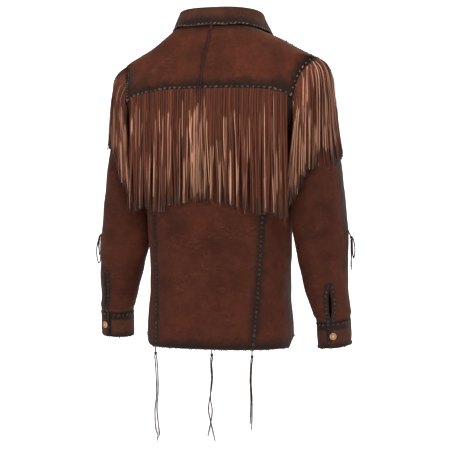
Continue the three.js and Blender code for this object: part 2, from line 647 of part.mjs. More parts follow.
function lace(name, points) {
  const curve = new THREE.CatmullRomCurve3(points.map((p) => vec(...p)), false, 'centripetal');
  const ring = range(8).slice(0, 8).map((t) => new THREE.Vector2(
    Math.cos(t * 2 * Math.PI), Math.sin(t * 2 * Math.PI)).multiplyScalar(LACE / 2));
  const steps = Math.max(6, Math.round(curve.getLength() / (3 * LACE)));
  const shape = new THREE.ExtrudeGeometry(new THREE.Shape(ring), {
    steps, bevelEnabled: false, extrudePath: curve,
  });
  const made = new THREE.Mesh(shape, new THREE.MeshStandardMaterial(LOOKS.lace));
  made.name = name;
  shirt.add(made);
}

// Knot with a short stem that leads to what it hangs from
function knot(name, at, toward, stem) {
  const profile = [[0, -4], [2.9, -4], [KNOT, -1.8], [KNOT, 1.4], [2.9, 3.6], [1.6, KNOT + 0.4], [1.6, stem], [0, stem]];
  const shape = new THREE.LatheGeometry(profile.map(([x, y]) => new THREE.Vector2(x, y)), 8);
  const made = new THREE.Mesh(shape, new THREE.MeshStandardMaterial(LOOKS.lace));
  made.name = name;
  made.position.set(...at);
  made.quaternion.setFromUnitVectors(vec(0, 1, 0), toward.normalize());
  shirt.add(made);
}

function buildLaces() {
  for (const [name, x, y, z, first, second] of HEM_LACES.rows) {
    knot(`hem_knot_${name}`, [x, y, z], vec(0, 0, 1), HEM_Z - SEAM - z);
    const moved = (points) => points.map((p) => [p[0] + x, p[1] + y, p[2] + z]);
    lace(`hem_lace_${name}_first`, moved(first));
    lace(`hem_lace_${name}_second`, moved(second));
  }
  knot('nape_knot', NAPE_KNOT, vec(0, -0.25, 0.97), 5);
  for (const [name, points] of NAPE_LACE.rows) lace(`nape_lace_${name}`, points);
  for (const [side, sign] of [['left', 1], ['right', -1]]) {
    const [x, y, z] = BOW_KNOT;
    knot(`bow_knot_${side}`, [x * sign, y, z], vec(-0.42 * sign, 0, 0.9), 20.5);
    for (const [name, points] of BOW.rows) {
      lace(`bow_${side}_${name}`, points.map((p) => [(p[0] + x) * sign, p[1] + y, p[2] + z]));
    }
  }
}

buildBack();
buildFronts();
for (const [name, side] of [['left', 1], ['right', -1]]) {
  buildSleeve(name, side);
  buildCuff(name, side);
  buildSleeveFringe(name, side);
}
buildCollar();
buildBackFringe();
buildFrontButtons();
buildLaces();

export default shirt;
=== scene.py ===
"""Long-sleeved suede western shirt with fringe, filled out as if worn.

Metres, +Z up, the back towards +Y and the wearer's left towards +X. Tables are in millimetres.
"""
import math

import bpy
import numpy as np
from bpy.props import FloatProperty, FloatVectorProperty, IntProperty, PointerProperty
from bpy.types import Operator, Panel, PropertyGroup
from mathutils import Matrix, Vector
from mathutils.kdtree import KDTree


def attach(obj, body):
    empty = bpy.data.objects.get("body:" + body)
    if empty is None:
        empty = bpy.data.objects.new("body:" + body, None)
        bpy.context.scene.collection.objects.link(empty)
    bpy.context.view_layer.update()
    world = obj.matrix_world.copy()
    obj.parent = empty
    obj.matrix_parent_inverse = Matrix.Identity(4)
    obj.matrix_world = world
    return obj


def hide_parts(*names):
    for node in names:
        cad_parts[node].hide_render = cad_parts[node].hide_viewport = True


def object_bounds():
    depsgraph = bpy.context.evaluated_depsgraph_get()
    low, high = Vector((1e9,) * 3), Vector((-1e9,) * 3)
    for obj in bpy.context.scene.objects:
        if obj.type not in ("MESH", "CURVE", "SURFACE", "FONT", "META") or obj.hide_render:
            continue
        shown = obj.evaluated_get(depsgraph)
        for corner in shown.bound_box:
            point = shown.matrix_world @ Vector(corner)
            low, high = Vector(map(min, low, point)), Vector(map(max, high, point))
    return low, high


bl_info = {
    "name": "Fringed suede shirt",
    "version": (1, 0, 0),
    "blender": (4, 5, 0),
    "location": "3D View > Sidebar > Shirt",
    "description": "Builds the cloth, fringe, stitches, laces and buttons of a fringed suede shirt",
    "category": "Object",
}

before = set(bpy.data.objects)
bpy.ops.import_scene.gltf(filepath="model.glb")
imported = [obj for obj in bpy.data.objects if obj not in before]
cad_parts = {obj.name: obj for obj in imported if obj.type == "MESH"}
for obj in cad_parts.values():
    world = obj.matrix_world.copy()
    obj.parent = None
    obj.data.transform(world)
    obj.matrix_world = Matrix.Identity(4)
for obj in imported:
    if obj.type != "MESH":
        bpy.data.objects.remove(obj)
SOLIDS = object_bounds()
MM = 0.001

# Form ---------------------------------------------------------------------------------------

SIDES = {"left": 1, "right": -1}
CLOTH_THICK = 1.6
# Power of the body's section: 2 is an ellipse, more is squarer
SQUARE = 2.45
HEM_Z = -725
# Rows of the body: top of the vents, yoke seam, shoulder point, tops of the fronts and the back
VENT_ROW, YOKE_ROW, POINT_ROW, FRONT_TOP, NECK_ROW = 3.2, 14, 20, 23.8, 24
# Width of half the back and of a front at the hem
BACK_WIDE, FRONT_WIDE = 215, 240
# Radius of the hem's corners at the vents, on the back and on the fronts, and their highest rise
VENT_CORNER = {"left": 110, "right": 13}
FLAP_CORNER = {"left": 38, "right": 8}
CORNER_TOP = 40
# How far the right front lies in at its vent, and under the left front
VENT_TUCK = 4.5
LAP_STEP = 2.1
# Unevenness of the left side
SHOULDER_DROP = np.array([3.0, 0, 10.5])
CUFF_RAISE = np.array([0, 0, 9])
# Cuffs: angle of the outer edge, row of the sleeve at the top, and degrees round with the lap
CUFF_EDGE = {"left": 84, "right": 95}
CUFF_ROW = 11
CUFF_TURN = 390
CUFF_BUTTON_TURN = 16.0
# Slits: angles at the top and at the cuff, row of the top, and row where the edges meet again
SLIT_TURN = {"left": (72, 72), "right": (68, 84)}
SLIT_ROWS = {"left": 8.72, "right": 9.0}
SLIT_CLOSED = 10.6
# Angles of the sleeve that meet the body's rows from 10, under the arm, to 20
ARM_ANGLES = [180, 155, 135, 115, 95, 76, 68, 54, 36, 18, 0]
SLEEVE_RELIEF = 1.3
# Collar: radius of the fold, dip of the edge at the centre back, step over the shoulder point
COLLAR_FOLD = 4.5
COLLAR_DIP = 2.6
COLLAR_SHOULDER = 4.3

# Rows of the body from the hem up. The edge is the side seam, then the armhole seam, then the
# shoulder seam. mid is the height at the centre back, open the front's inner edge.
TRUNK = {
    "columns": ["row", "edgeZ", "edgeX", "edgeBack", "edgeFront", "midZ", "openZ", "openX",
                "panelLeft", "panelRight"],
    "rows": [
        [0, -725, 173, 6, 2, -725, -725, -15, 122, 112],
        [1, -690, 171.5, 5, 2, -690, -690, -15, 123, 114],
        [2, -645, 169, 3, 1, -645, -645, -15, 124, 117],
        [3, -600, 166.5, 0, 0, -600, -600, -15, 126, 120],
        [4, -545, 165, 0, 0, -545, -545, -15, 128, 123],
        [5, -490, 165.5, 0, 0, -490, -490, -15, 130, 126],
        [6, -430, 167, 0, 0, -430, -430, -15, 132, 129],
        [7, -370, 170.5, 0, 0, -370, -370, -15, 134, 133],
        [8, -310, 177, 0, 0, -308, -312, -15, 137, 137],
        [9, -265, 184, 0, 0, -262, -270, -15, 139, 139],
        [10, -240, 187, 0, 0, -238, -248, -15, 140, 140],
        [11, -230, 189, 38, 38, -222, -236, -15, 141, 141],
        [12, -212, 192, 68, 64, -196, -222, -15, 141, 141],
        [13, -186, 196, 88, 80, -165, -206, -15, 142, 142],
        [14, -160, 199.5, 95, 86, -136, -190, -15, 142, 142],
        [15, -132, 203.5, 86, 77, -114, -176, -15, 142, 142],
        [16, -117, 206.5, 77, 70, -103, -164, -5, 142, 142],
        [17, -97, 211.5, 60, 56, -88, -148, 9, 142, 142],
        [18, -77, 219, 39, 37, -74, -126, 25, 142, 142],
        [19, -65, 227, 20, 19, -63, -108, 38, 142, 142],
        [20, -60, 231, 0, 0, -56, -92, 50, 142, 142],
        [21, -45, 202, 0, 0, -40, -72, 65, 142, 142],
        [22, -30, 173, 0, 0, -24, -50, 83, 142, 142],
        [23, -15, 144, 0, 0, -5, -25, 101, 142, 142],
        [24, 0, 107, 0, 0, 15, -3, 104.5, 142, 142],
    ],
}
DEPTH = {
    "columns": ["z", "back", "front"],
    "rows": [
        [-725, 129, 118], [-640, 127, 117], [-560, 126.5, 117], [-480, 128, 119],
        [-400, 130.5, 122], [-320, 134, 126], [-240, 136, 128], [-155, 133, 119],
        [-110, 127, 112], [-60, 115, 103], [-30, 105, 97], [0, 95, 90], [15, 88, 84],
    ],
}
# Half-width of the body by height, where the long fringe lies on it
TRUNK_HALF = {
    "columns": ["z", "half"],
    "rows": [[-440, 167], [-370, 170], [-310, 177], [-265, 184], [-240, 190], [-212, 208],
             [-186, 228], [-150, 250]],
}
# Rings of the sleeve below the armhole
SLEEVE = {
    "columns": ["row", "outX", "outZ", "inX", "inZ", "midY", "deep", "rake", "skew"],
    "rows": [
        [1, 252, -81, 189.5, -247, -4, 90, 0, 2],
        [2, 263, -126, 191, -254, -6, 86, 0, 5],
        [3, 269, -190, 190.5, -266, -6, 82, 0, 8],
        [4, 274, -250, 190, -288, -5, 78, 0, 11],
        [5, 286, -320, 188.5, -338, -3, 74, 0, 13],
        [6, 294, -395, 187, -400, -1, 70, 0, 14],
        [7, 300, -465, 184.5, -465, 0, 67, -1, 13],
        [8, 302, -525, 193, -525, 1, 62, -3, 6],
        [9, 303, -583, 204, -585, -4, 56, -5, 5],
        [10, 305, -631, 218, -636, -12, 50, -5, 4],
        [11, 306, -659, 229, -665, -17, 46, -5, 2],
        [12, 307, -717, 231, -724, -24, 46, -5, 0],
    ],
}
# Stations of the collar from the centre back to the front end
COLLAR = {
    "columns": ["step", "foldX", "foldY", "foldZ", "edgeX", "edgeY", "edgeZ"],
    "rows": [
        [0, 0, 73, 51, 0, 97, 16],
        [1, 33, 70, 51, 37, 93, 15],
        [2, 62, 58, 50.5, 72.5, 81, 14],
        [3, 85, 34, 49, 102, 49.5, 9.5],
        [4, 95, 4, 47, 117, 8, 4],
        [5, 96, -26, 42, 122, -30, -4],
        [6, 92, -52, 28, 121, -66, -22],
        [7, 86, -74, 6, 116, -96, -52],
        [8, 79, -86, -16, 104, -113, -88],
    ],
}
# Soft creases: ends, half-width, depth; a ridge has a depth below zero
CREASES = {
    "columns": ["x", "y", "z", "toX", "toY", "toZ", "wide", "depth"],
    "rows": [
        [-60, 125, -470, 35, 128, -520, 26, 1.6],
        [30, 128, -430, 105, 110, -470, 30, 1.4],
        [-110, 100, -560, -20, 126, -590, 24, 1.3],
        [80, 118, -590, 150, 60, -560, 20, 1.5],
        [-150, 60, -430, -165, 20, -520, 18, 2.0],
        [150, 60, -330, 172, 15, -420, 20, 2.4],
        [-176, 20, -300, -120, 105, -350, 20, 2.2],
        [250, 70, -300, 200, 60, -350, 15, 2.6],
        [265, 62, -400, 205, 50, -430, 13, 2.4],
        [285, 45, -455, 215, 55, -470, 12, 3.0],
        [280, 50, -500, 225, 45, -490, 11, -2.0],
        [290, 40, -545, 225, 40, -560, 12, 2.4],
        [-250, 70, -290, -205, 62, -355, 14, 2.4],
        [-270, 60, -395, -210, 52, -415, 13, 2.6],
        [-285, 45, -450, -212, 55, -480, 12, 3.0],
        [-282, 48, -505, -228, 45, -520, 12, 2.4],
        [-296, 30, -560, -232, 34, -545, 10, -1.8],
        [-290, 25, -600, -240, 28, -620, 10, 1.8],
        [60, 96, -60, 130, 60, -40, 22, 1.2],
        [-70, 108, -75, -20, 118, -95, 20, 1.0],
        [-60, -112, -420, 20, -118, -480, 26, 1.8],
        [120, -90, -330, 165, -25, -300, 20, 2.4],
        [-120, -90, -340, -168, -20, -310, 20, 2.4],
        [270, -60, -420, 205, -50, -450, 14, 2.6],
        [-270, -60, -425, -205, -50, -445, 14, 2.6],
        [90, -105, -600, 20, -118, -640, 24, 1.6],
        [184, 45, -395, 186, -15, -540, 42, -8],
        [-184, 45, -310, -185, -15, -505, 42, -7.5],
    ],
}


def read(table, column, at):
    """Smooth value of a table's column at places along its first column."""
    rows = np.array(table["rows"], float)
    x, y = rows[:, 0], rows[:, table["columns"].index(column)]
    before, after = np.arange(len(x)) - 1, np.arange(len(x)) + 1
    before[0], after[-1] = 0, len(x) - 1
    slope = (y[after] - y[before]) / (x[after] - x[before])
    at = np.asarray(at, float)
    i = np.clip(np.searchsorted(x, at, side="left") - 1, 0, len(x) - 2)
    h = x[i + 1] - x[i]
    t = np.clip((at - x[i]) / h, 0, 1)
    return ((2 * t**3 - 3 * t**2 + 1) * y[i] + (t**3 - 2 * t**2 + t) * h * slope[i]
            + (3 * t**2 - 2 * t**3) * y[i + 1] + (t**3 - t**2) * h * slope[i + 1])


def trunk(column, row):
    return read(TRUNK, column, row)


def lowered(points):
    """The left shoulder hangs a little lower than the right one, the left cuff a little higher."""
    x, z = points[..., 0], points[..., 2]
    share = smooth(75, 150, x) * smooth(-200, -50, z)
    cuff = smooth(180, 200, x) * smooth(-480, -620, z)
    return points - share[..., None] * SHOULDER_DROP + cuff[..., None] * CUFF_RAISE


def lerp(a, b, t):
    return a + (b - a) * t


def smooth(low, high, x):
    t = np.clip((np.asarray(x, float) - low) / (high - low), 0, 1)
    return t * t * (3 - 2 * t)


def signed(x, p):
    return np.sign(x) * np.abs(x) ** p


def stack(*parts):
    return np.stack(np.broadcast_arrays(*parts), -1)


def mirrored(points, side):
    return points * np.array([side, 1, 1])


def unit(v):
    return v / np.maximum(np.linalg.norm(v, axis=-1, keepdims=True), 1e-12)


def section(row, face):
    """Half-width of the body at a row, and the angle where the face ends at its edge."""
    deep = read(DEPTH, face, trunk("edgeZ", row))
    share = np.maximum(trunk("edgeBack" if face == "back" else "edgeFront", row), 0) / deep
    half = trunk("edgeX", row) / (1 - share**SQUARE) ** (1 / SQUARE)
    return half, np.arcsin(share ** (SQUARE / 2))


def corner_rise(gap, z, corner):
    """How far the hem rises in its rounded corner at a vent."""
    short = corner - np.minimum(gap, corner)
    rise = np.minimum(corner - np.sqrt(corner**2 - short**2), CORNER_TOP)
    return rise * (1 - smooth(HEM_Z, HEM_Z + 120, z))


def back_at(row, across):
    """Back: across runs from 0 at the centre to 1 at the left edge, -1 at the right."""
    row, across = np.broadcast_arrays(np.asarray(row, float), np.asarray(across, float))
    s = np.abs(across)
    half, end = section(row, "back")
    bend = lerp(4, 2, np.clip((row - YOKE_ROW) / 10, 0, 1))
    z = lerp(trunk("midZ", row), trunk("edgeZ", row), s**bend)
    angle = lerp(math.pi / 2, end, s)
    x = half * np.maximum(np.cos(angle), 0) ** (2 / SQUARE)
    y = read(DEPTH, "back", z) * np.maximum(np.sin(angle), 0) ** (2 / SQUARE)
    corner = np.where(across > 0, VENT_CORNER["left"], VENT_CORNER["right"])
    return stack(np.sign(across) * x, y, z + corner_rise((1 - s) * BACK_WIDE, z, corner))


def panel_share(row, side):
    """Where the long back seam lies across the back."""
    half, end = section(row, "back")
    x = np.where(np.asarray(side) > 0, trunk("panelLeft", row), trunk("panelRight", row))
    return (math.pi / 2 - np.arccos((x / half) ** (SQUARE / 2))) / (math.pi / 2 - end)


def front_at(row, across, side=1, lapped=False):
    """Front: across runs from 0 at the inner edge to 1 at the side."""
    half, end = section(row, "front")
    start = np.arccos(np.clip(signed(trunk("openX", row) / half, SQUARE / 2), -1, 1))
    angle = lerp(start, end, across)
    z = lerp(trunk("openZ", row), trunk("edgeZ", row), across)
    x = half * signed(np.cos(angle), 2 / SQUARE)
    y = -read(DEPTH, "front", z) * np.maximum(np.sin(angle), 0) ** (2 / SQUARE)
    gap = (1 - across) * FRONT_WIDE
    if lapped and side < 0:
        y = y + LAP_STEP * (1 - smooth(15, 35, x))
    if side < 0:
        x = x - VENT_TUCK * (1 - smooth(0, VENT_ROW, row)) * (1 - smooth(0, 45, gap))
    rise = corner_rise(gap, z, FLAP_CORNER["left" if side > 0 else "right"])
    return mirrored(stack(x, y, z + rise), side)


def arm_row(angle):
    """Row of the body where the armhole has an angle of the sleeve."""
    return np.interp(np.abs(angle), ARM_ANGLES[::-1], np.arange(20, 9, -1))


def sleeve_ring(i, angle):
    """Point on a ring of the sleeve; ring 0 is the armhole."""
    rows = np.array(SLEEVE["rows"], float)[np.clip(i - 1, 0, 11)]
    out_x, out_z, in_x, in_z, mid_y, deep, rake, skew = np.moveaxis(rows, -1, 0)[1:]
    c, s = np.cos(np.radians(angle)), np.sin(np.radians(angle))
    ring = stack((out_x + in_x) / 2 + c * (out_x - in_x) / 2, mid_y + deep * s - skew * c,
                 (out_z + in_z) / 2 + c * (out_z - in_z) / 2 + rake * s)
    if np.all(i > 0):
        return ring
    row = arm_row(angle)
    edge = np.where((angle < 0)[..., None], front_at(row, 1.0), back_at(row, 1.0))
    return np.where((i <= 0)[..., None], edge, ring)


def sleeve_at(row, angle):
    """Left sleeve: angle 0 is outermost, 90 the back, 180 the underarm, -90 the front."""
    row, angle = np.broadcast_arrays(np.asarray(row, float), np.asarray(angle, float))
    i = np.clip(np.floor(row).astype(int), 0, 11)
    t = (row - i)[..., None]
    a, b = sleeve_ring(i, angle), sleeve_ring(i + 1, angle)
    before = np.where((i > 0)[..., None], sleeve_ring(np.maximum(i - 1, 0), angle), 2 * a - b)
    after = np.where((i < 11)[..., None], sleeve_ring(np.minimum(i + 2, 12), angle), 2 * b - a)
    return 0.5 * (2 * a + (b - before) * t + (2 * before - 5 * a + 4 * b - after) * t**2
                  + (3 * a - before - 3 * b + after) * t**3)


def sleeve_axis(row):
    """Middle of the sleeve at a row."""
    return (sleeve_at(row, 0) + sleeve_at(row, 180)) / 2


def slit_turn(row, name):
    """Angle of the slit's middle on the sleeve."""
    top, low = SLIT_TURN[name]
    return lerp(top, low, np.clip((row - 9) / 2, 0, 1))


def cuff_at(turn, v, name):
    """Left cuff, from its outer edge at turn 0, and from 0 at its top to 1 at its lower edge."""
    angle = CUFF_EDGE[name] - turn
    p = sleeve_at(CUFF_ROW + v, (angle + 180) % 360 - 180)
    inward = unit(sleeve_axis(CUFF_ROW + v) - p)
    return p + inward * (2.2 * smooth(290, 352, turn))[..., None]


def fold_at(step):
    """Line that the collar is turned down on."""
    k = np.abs(step)
    p = stack(*[read(COLLAR, c, k) for c in ("foldX", "foldY", "foldZ")])
    return p * stack(np.where(step < 0, -1, 1), 1, 1)


def neck_seam(step):
    """Seam of the collar, along the back's neck and then down the front's."""
    step = np.asarray(step, float)
    front = np.clip((step - COLLAR_SHOULDER) / 0.6, 0, 1)
    row = lerp(NECK_ROW, FRONT_TOP, front) - np.maximum(step - 4.9, 0) * 0.58
    share = np.minimum(step, COLLAR_SHOULDER) / COLLAR_SHOULDER
    back = back_at(NECK_ROW, share**1.25)
    return np.where((step < COLLAR_SHOULDER)[..., None], back, front_at(row, 1 - front))


def collar_at(step, v):
    """Collar: v runs from the neck seam, over the fold at a half, to the falling edge."""
    step, v = np.broadcast_arrays(np.asarray(step, float), np.asarray(v, float))
    k = np.abs(step)
    seam, fold = neck_seam(k), fold_at(k)
    edge = stack(*[read(COLLAR, c, k) for c in ("edgeX", "edgeY", "edgeZ")])
    along = unit(fold_at(np.minimum(k + 0.05, 8)) - fold_at(k - 0.05))
    out = stack(edge[..., 0] - seam[..., 0] + fold[..., 0] * 0.15,
                edge[..., 1] - seam[..., 1] + (fold[..., 1] + 15) * 0.15, 0 * k)
    out = unit(out - along * (out * along).sum(-1, keepdims=True))
    up = np.cross(out, along)
    up = up * np.sign(up[..., 2:])
    seam = seam + np.array([0, 0, 0.75])
    w = v[..., None]
    a = (w * 3 - 1) * math.pi
    rise = lerp(seam, fold - out * COLLAR_FOLD, w * 3)
    turn = fold - out * np.cos(a) * COLLAR_FOLD + up * np.sin(a) * COLLAR_FOLD
    fall = lerp(fold + out * COLLAR_FOLD, edge, w * 3 - 2)
    p = np.where(w < 1 / 3, rise, np.where(w < 2 / 3, turn, fall))
    return p * stack(np.where(step < 0, -1, 1), 1, 1)


# Angles of the sleeve's back piece. The slit lies in the wide gap at SLIT_MIDDLE and pulls those
# within SLIT_REACH along when it moves.
SLEEVE_ANGLES = [0.35, 3, 6, 9, 13, 18, 24, 31, 38, 44, 49, 54, 58, 61, 63, 65, 66.5, 68,
                 76, 77.5, 79, 81, 83, 86, *range(90, 178, 4), 179.65]
SLIT_MIDDLE, SLIT_GAP, SLIT_REACH = 72, 4, 24
SLIT_COLUMN = SLEEVE_ANGLES.index(SLIT_MIDDLE - SLIT_GAP)
SLIT_HALF = {"left": 1.5, "right": 4.1}


def slit_half(row, name):
    """Half-width of the slit in degrees."""
    top = SLIT_ROWS[name]
    share = smooth(top - 0.02, top + 0.5, row) * (1 - 0.95 * smooth(10.0, SLIT_CLOSED, row))
    return SLIT_HALF[name] * share + 0.35


def slit_route(name):
    """Rows and angles of the line of stitches round a slit."""
    top = SLIT_ROWS[name] - 0.02
    up = np.linspace(10.85, top, 70)
    bend = np.linspace(math.pi, 0, 24)[1:-1]
    r = np.concatenate([up, top - 0.15 * np.sin(bend), up[::-1]])
    reach = 7.2 + slit_half(up, name)
    a = np.concatenate([-reach, reach[-1] * np.cos(bend), reach[::-1]])
    return r, a + slit_turn(r, name)


# Surface detail -----------------------------------------------------------------------------

# Range of the random phases
PHASE = 6.28


def waves(points, seed, size):
    """Smooth uneven field between about -1 and 1, with humps of about a size."""
    count = 7
    draw = np.random.default_rng(seed)
    ways = unit(draw.normal(size=(count, 3))) * (2 * math.pi / size)
    ways = ways * draw.uniform(0.6, 1.5, (count, 1))
    total = np.sin(points @ ways.T + draw.uniform(0, PHASE, count)).sum(-1)
    return total / math.sqrt(count / 2) / 1.6


def crease_depth(points):
    """How deep the creases are. Each one wavers, by its own first number as the seed."""
    depth = np.zeros(points.shape[:-1])
    for row in CREASES["rows"]:
        a, b, wide, deep = np.array(row[:3], float), np.array(row[3:6], float), row[6], row[7]
        along = np.clip(((points - a) @ (b - a)) / ((b - a) @ (b - a)), 0, 1)
        off = np.linalg.norm(points - a - along[..., None] * (b - a), axis=-1)
        off = off + 3.0 * waves(points, int(abs(row[0])), 60)
        depth += deep * np.exp(-(off / wide) ** 2) * (0.35 + 0.65 * np.sin(math.pi * along))
    return depth


def relief(points):
    """How far the cloth stands out from its plain form, in millimetres."""
    return (1.1 * waves(points, 3, 210) + 0.55 * waves(points, 4, 85)
            + 0.22 * waves(points, 5, 38) - crease_depth(points))


def tree_of(points):
    tree = KDTree(len(points))
    for i, p in enumerate(points):
        tree.insert(p, i)
    tree.balance()
    return tree


SEAMS = {}


def seam(name, points, wide, strength=1.0):
    """Remembers a seam or an edge that is darkened, by the leather's wear and by painted shade."""
    SEAMS[name] = (points.reshape(-1, 3), wide, strength)


def wear_and_shade(points, names):
    """Darkness from 0 to 1 of a surface near the named seams, for wear and painted shade together.
    """
    flat = points.reshape(-1, 3)
    dark = np.zeros(len(flat))
    uneven = 0.06 * waves(flat, 71, 48) + 0.03 * waves(flat, 72, 15)
    for name in names:
        line, wide, strength = SEAMS[name]
        tree = tree_of(line)
        near = np.array([tree.find(p)[2] for p in flat]) + uneven * wide
        dark = np.maximum(dark, strength * np.clip(1.12 - near / wide, 0, 1) ** 1.3)
    return dark.reshape(points.shape[:-1])


def body_seams(name, side):
    rows, up = np.linspace(0, YOKE_ROW, 300), np.linspace(10, POINT_ROW, 160)
    # The long back seams darken a wide band: wear on the seam and painted shade on both sides of
    # it.
    seam(f"panel_{name}", back_at(rows, side * panel_share(rows, side)), 24, 0.85)
    seam(f"arm_{name}", np.concatenate([back_at(up, side), front_at(up, 1.0, side)]), 38)
    seam(f"shoulder_{name}", back_at(np.linspace(POINT_ROW, NECK_ROW, 90), side), 14, 0.8)
    seam(f"hem_{name}", front_at(0.0, np.linspace(0, 1, 200), side), 34)
    seam(f"vent_{name}", back_at(np.linspace(0, VENT_ROW, 60), side), 32)
    seam(f"side_{name}", back_at(np.linspace(3, 10, 120), side), 6, 0.6)
    seam(f"open_{name}", front_at(np.linspace(0, FRONT_TOP, 300), 0.0, side), 14, 0.8)


def sleeve_seams(name, side):
    def put(part, points, wide, strength=1.0):
        seam(f"{part}_{name}", mirrored(points, side), wide, strength)

    middle, turns = (-4, (-12, -4, 4)) if side > 0 else (3, (-10, -2, 6, 14))
    lines = [sleeve_at(np.linspace(1.2, 8.6 - 0.14 * abs(a - middle), 240), a) for a in turns]
    put("outer", np.concatenate(lines), 14)
    put("lower", sleeve_at(np.linspace(8.2, CUFF_ROW, 90), 0), 9, 0.6)
    put("under", sleeve_at(np.linspace(0, CUFF_ROW, 260), 180), 14, 0.75)
    put("wrist", sleeve_at(CUFF_ROW, np.linspace(-180, 180, 220)), 8, 0.9)
    turn = np.linspace(0, CUFF_TURN, 240)
    bands = [cuff_at(turn, np.full(240, v), name) for v in (0.04, 0.16, 0.26)]
    put("band", np.concatenate(bands), 9)
    put("cuff", cuff_at(turn, np.ones(240), name), 18)
    put("lap", cuff_at(np.zeros(40), np.linspace(0, 1, 40), name), 12)
    slit = np.linspace(SLIT_ROWS[name], CUFF_ROW, 70)
    lines = [sleeve_at(slit, slit_turn(slit, name)), sleeve_at(*slit_route(name))]
    put("slit", np.concatenate(lines), 9)


def settle_seams():
    s = np.linspace(-1, 1, 400)
    seam("yoke", back_at(YOKE_ROW, s), 38)
    # Painted shade: a wide dark patch in the corners at both ends of the yoke seam.
    ends = np.concatenate([np.linspace(-1, -0.8, 30), np.linspace(0.8, 1, 30)])
    seam("yoke_end_shade", back_at(YOKE_ROW, ends), 62)
    seam("neck", back_at(NECK_ROW, s), 40, 0.75)
    seam("hem", back_at(0, s), 36)
    for name, side in SIDES.items():
        body_seams(name, side)
        sleeve_seams(name, side)
    steps = np.linspace(-8, 8, 400)
    ends = [collar_at(np.full(50, k), np.linspace(0.5, 1, 50)) for k in (-8.0, 8.0)]
    seam("fall", np.concatenate([collar_at(steps, 1.0), *ends]), 36)
    seam("fold", collar_at(steps, 0.5), 7, 0.35)


# Mesh making --------------------------------------------------------------------------------

def add_object(name, data, material=None):
    made = bpy.data.objects.new(name, data)
    bpy.context.scene.collection.objects.link(made)
    if material:
        data.materials.append(material)
    return made


def make_mesh(name, points, faces, material, marks=(), sharp=40):
    """Smooth mesh from points in millimetres, with its marks as attributes."""
    data = bpy.data.meshes.new(name)
    data.from_pydata((points * MM).tolist(), [], faces)
    for mark, values in dict(marks).items():
        layer = data.attributes.new(mark, "FLOAT", "POINT")
        layer.data.foreach_set("value", np.asarray(values, np.float32).ravel())
    data.polygons.foreach_set("use_smooth", [True] * len(data.polygons))
    data.set_sharp_from_angle(angle=math.radians(sharp))
    data.update()
    return add_object(name, data, material)


def ragged_mesh(name, points, faces, material, marks=()):
    """Smooth mesh with faces of three or four corners; one of three says a corner twice."""
    faces = [list(dict.fromkeys(face)) for face in faces]
    return make_mesh(name, lowered(np.array(points)), faces, material, marks, 50)


def normals_of(points, inside):
    """Normals that point away from inside, and whether the grid's own side does so too."""
    n = unit(np.cross(np.gradient(points, axis=1), np.gradient(points, axis=0)))
    flip = np.sign(((points - inside) * n).sum(-1).mean())
    return n * flip, flip > 0


def cloth(name, points, inside, material, marks, keep=None, lift=0.0, turned=None):
    """Closed cloth wall on a grid of points that becomes its outer face.

    keep says which cells of the grid are there, lift moves the wall out in millimetres, and turned
    is -1 where the normals found from inside are the wrong way round.
    """
    n, ahead = normals_of(points, inside)
    if turned is not None:
        n, ahead = n * turned, ahead == (turned > 0)
    outer = points + n * np.broadcast_to(lift, points.shape[:2])[..., None]
    inner = outer - n * CLOTH_THICK
    rows, cols = points.shape[:2]
    index = np.arange(rows * cols).reshape(rows, cols)
    keep = np.ones((rows - 1, cols - 1), bool) if keep is None else keep
    a, b, c, d = index[:-1, :-1], index[:-1, 1:], index[1:, 1:], index[1:, :-1]
    quads = np.stack([a, b, c, d], -1)[keep]
    quads = quads if ahead else quads[:, ::-1]
    far = quads[:, ::-1] + rows * cols
    edges = np.concatenate([quads[:, [k, (k + 1) % 4]] for k in range(4)])
    known = {(x, y) for x, y in edges.tolist()}
    rim = np.array([e for e in edges.tolist() if (e[1], e[0]) not in known])
    wall = np.stack([rim[:, 1], rim[:, 0], rim[:, 0] + rows * cols, rim[:, 1] + rows * cols], -1)
    both = np.concatenate([outer.reshape(-1, 3), inner.reshape(-1, 3)])
    faces = np.concatenate([quads, far, wall])
    used = np.unique(faces)
    renumber = np.zeros(len(both), int)
    renumber[used] = np.arange(len(used))
    marks = {k: np.concatenate([v.ravel(), v.ravel()])[used] for k, v in marks.items()}
    marks["lining"] = np.repeat([0.0, 1.0], rows * cols)[used]
    return make_mesh(name, lowered(both[used]), renumber[faces].tolist(), material, marks)


def settle(points, inside, amount):
    """Moves a plain surface out to its creased form, by an amount of the relief."""
    return points + normals_of(points, inside)[0] * (amount * relief(points))[..., None]


def suede_marks(points, names):
    """Marks of a piece of cloth that has the named seams: its darkening near them, from wear and
    painted shade, and its crease depth, which paints shade into creases and light onto ridges.
    """
    return {"wear_shade_mask": wear_and_shade(points, names), "fold": crease_depth(points)}


def calm(row, across):
    """Share of the relief that is left near the armhole and the neck seam."""
    beside = smooth(0.9, 0.995, np.abs(across)) * smooth(9.5, 11, row)
    return (1 - beside) * (1 - smooth(22.6, FRONT_TOP, row))


def tube(path, radius):
    """Points and faces of a closed tube with eight sides along a path in millimetres."""
    sides = 8
    ahead = unit(np.gradient(path, axis=0))
    across = unit(np.cross(ahead[0], [0.31, 0.52, 0.79]))
    turn = np.arange(sides)[:, None] * 2 * math.pi / sides
    rings = []
    for p, way in zip(path, ahead):
        across = unit(across - way * (across @ way))
        rings.append(p + radius * (np.cos(turn) * across + np.sin(turn) * np.cross(way, across)))
    points = np.concatenate([*rings, [path[0]], [path[-1]]])
    n, faces = len(path), []
    for i in range(n - 1):
        for k in range(sides):
            m = (k + 1) % sides
            faces.append([i * sides + k, i * sides + m, (i + 1) * sides + m, (i + 1) * sides + k])
    for k in range(sides):
        m, end = (k + 1) % sides, (n - 1) * sides
        faces.append([n * sides, m, k, k])
        faces.append([n * sides + 1, end + k, end + m, end + m])
    return points, faces


STRAND_THICK = 1.0


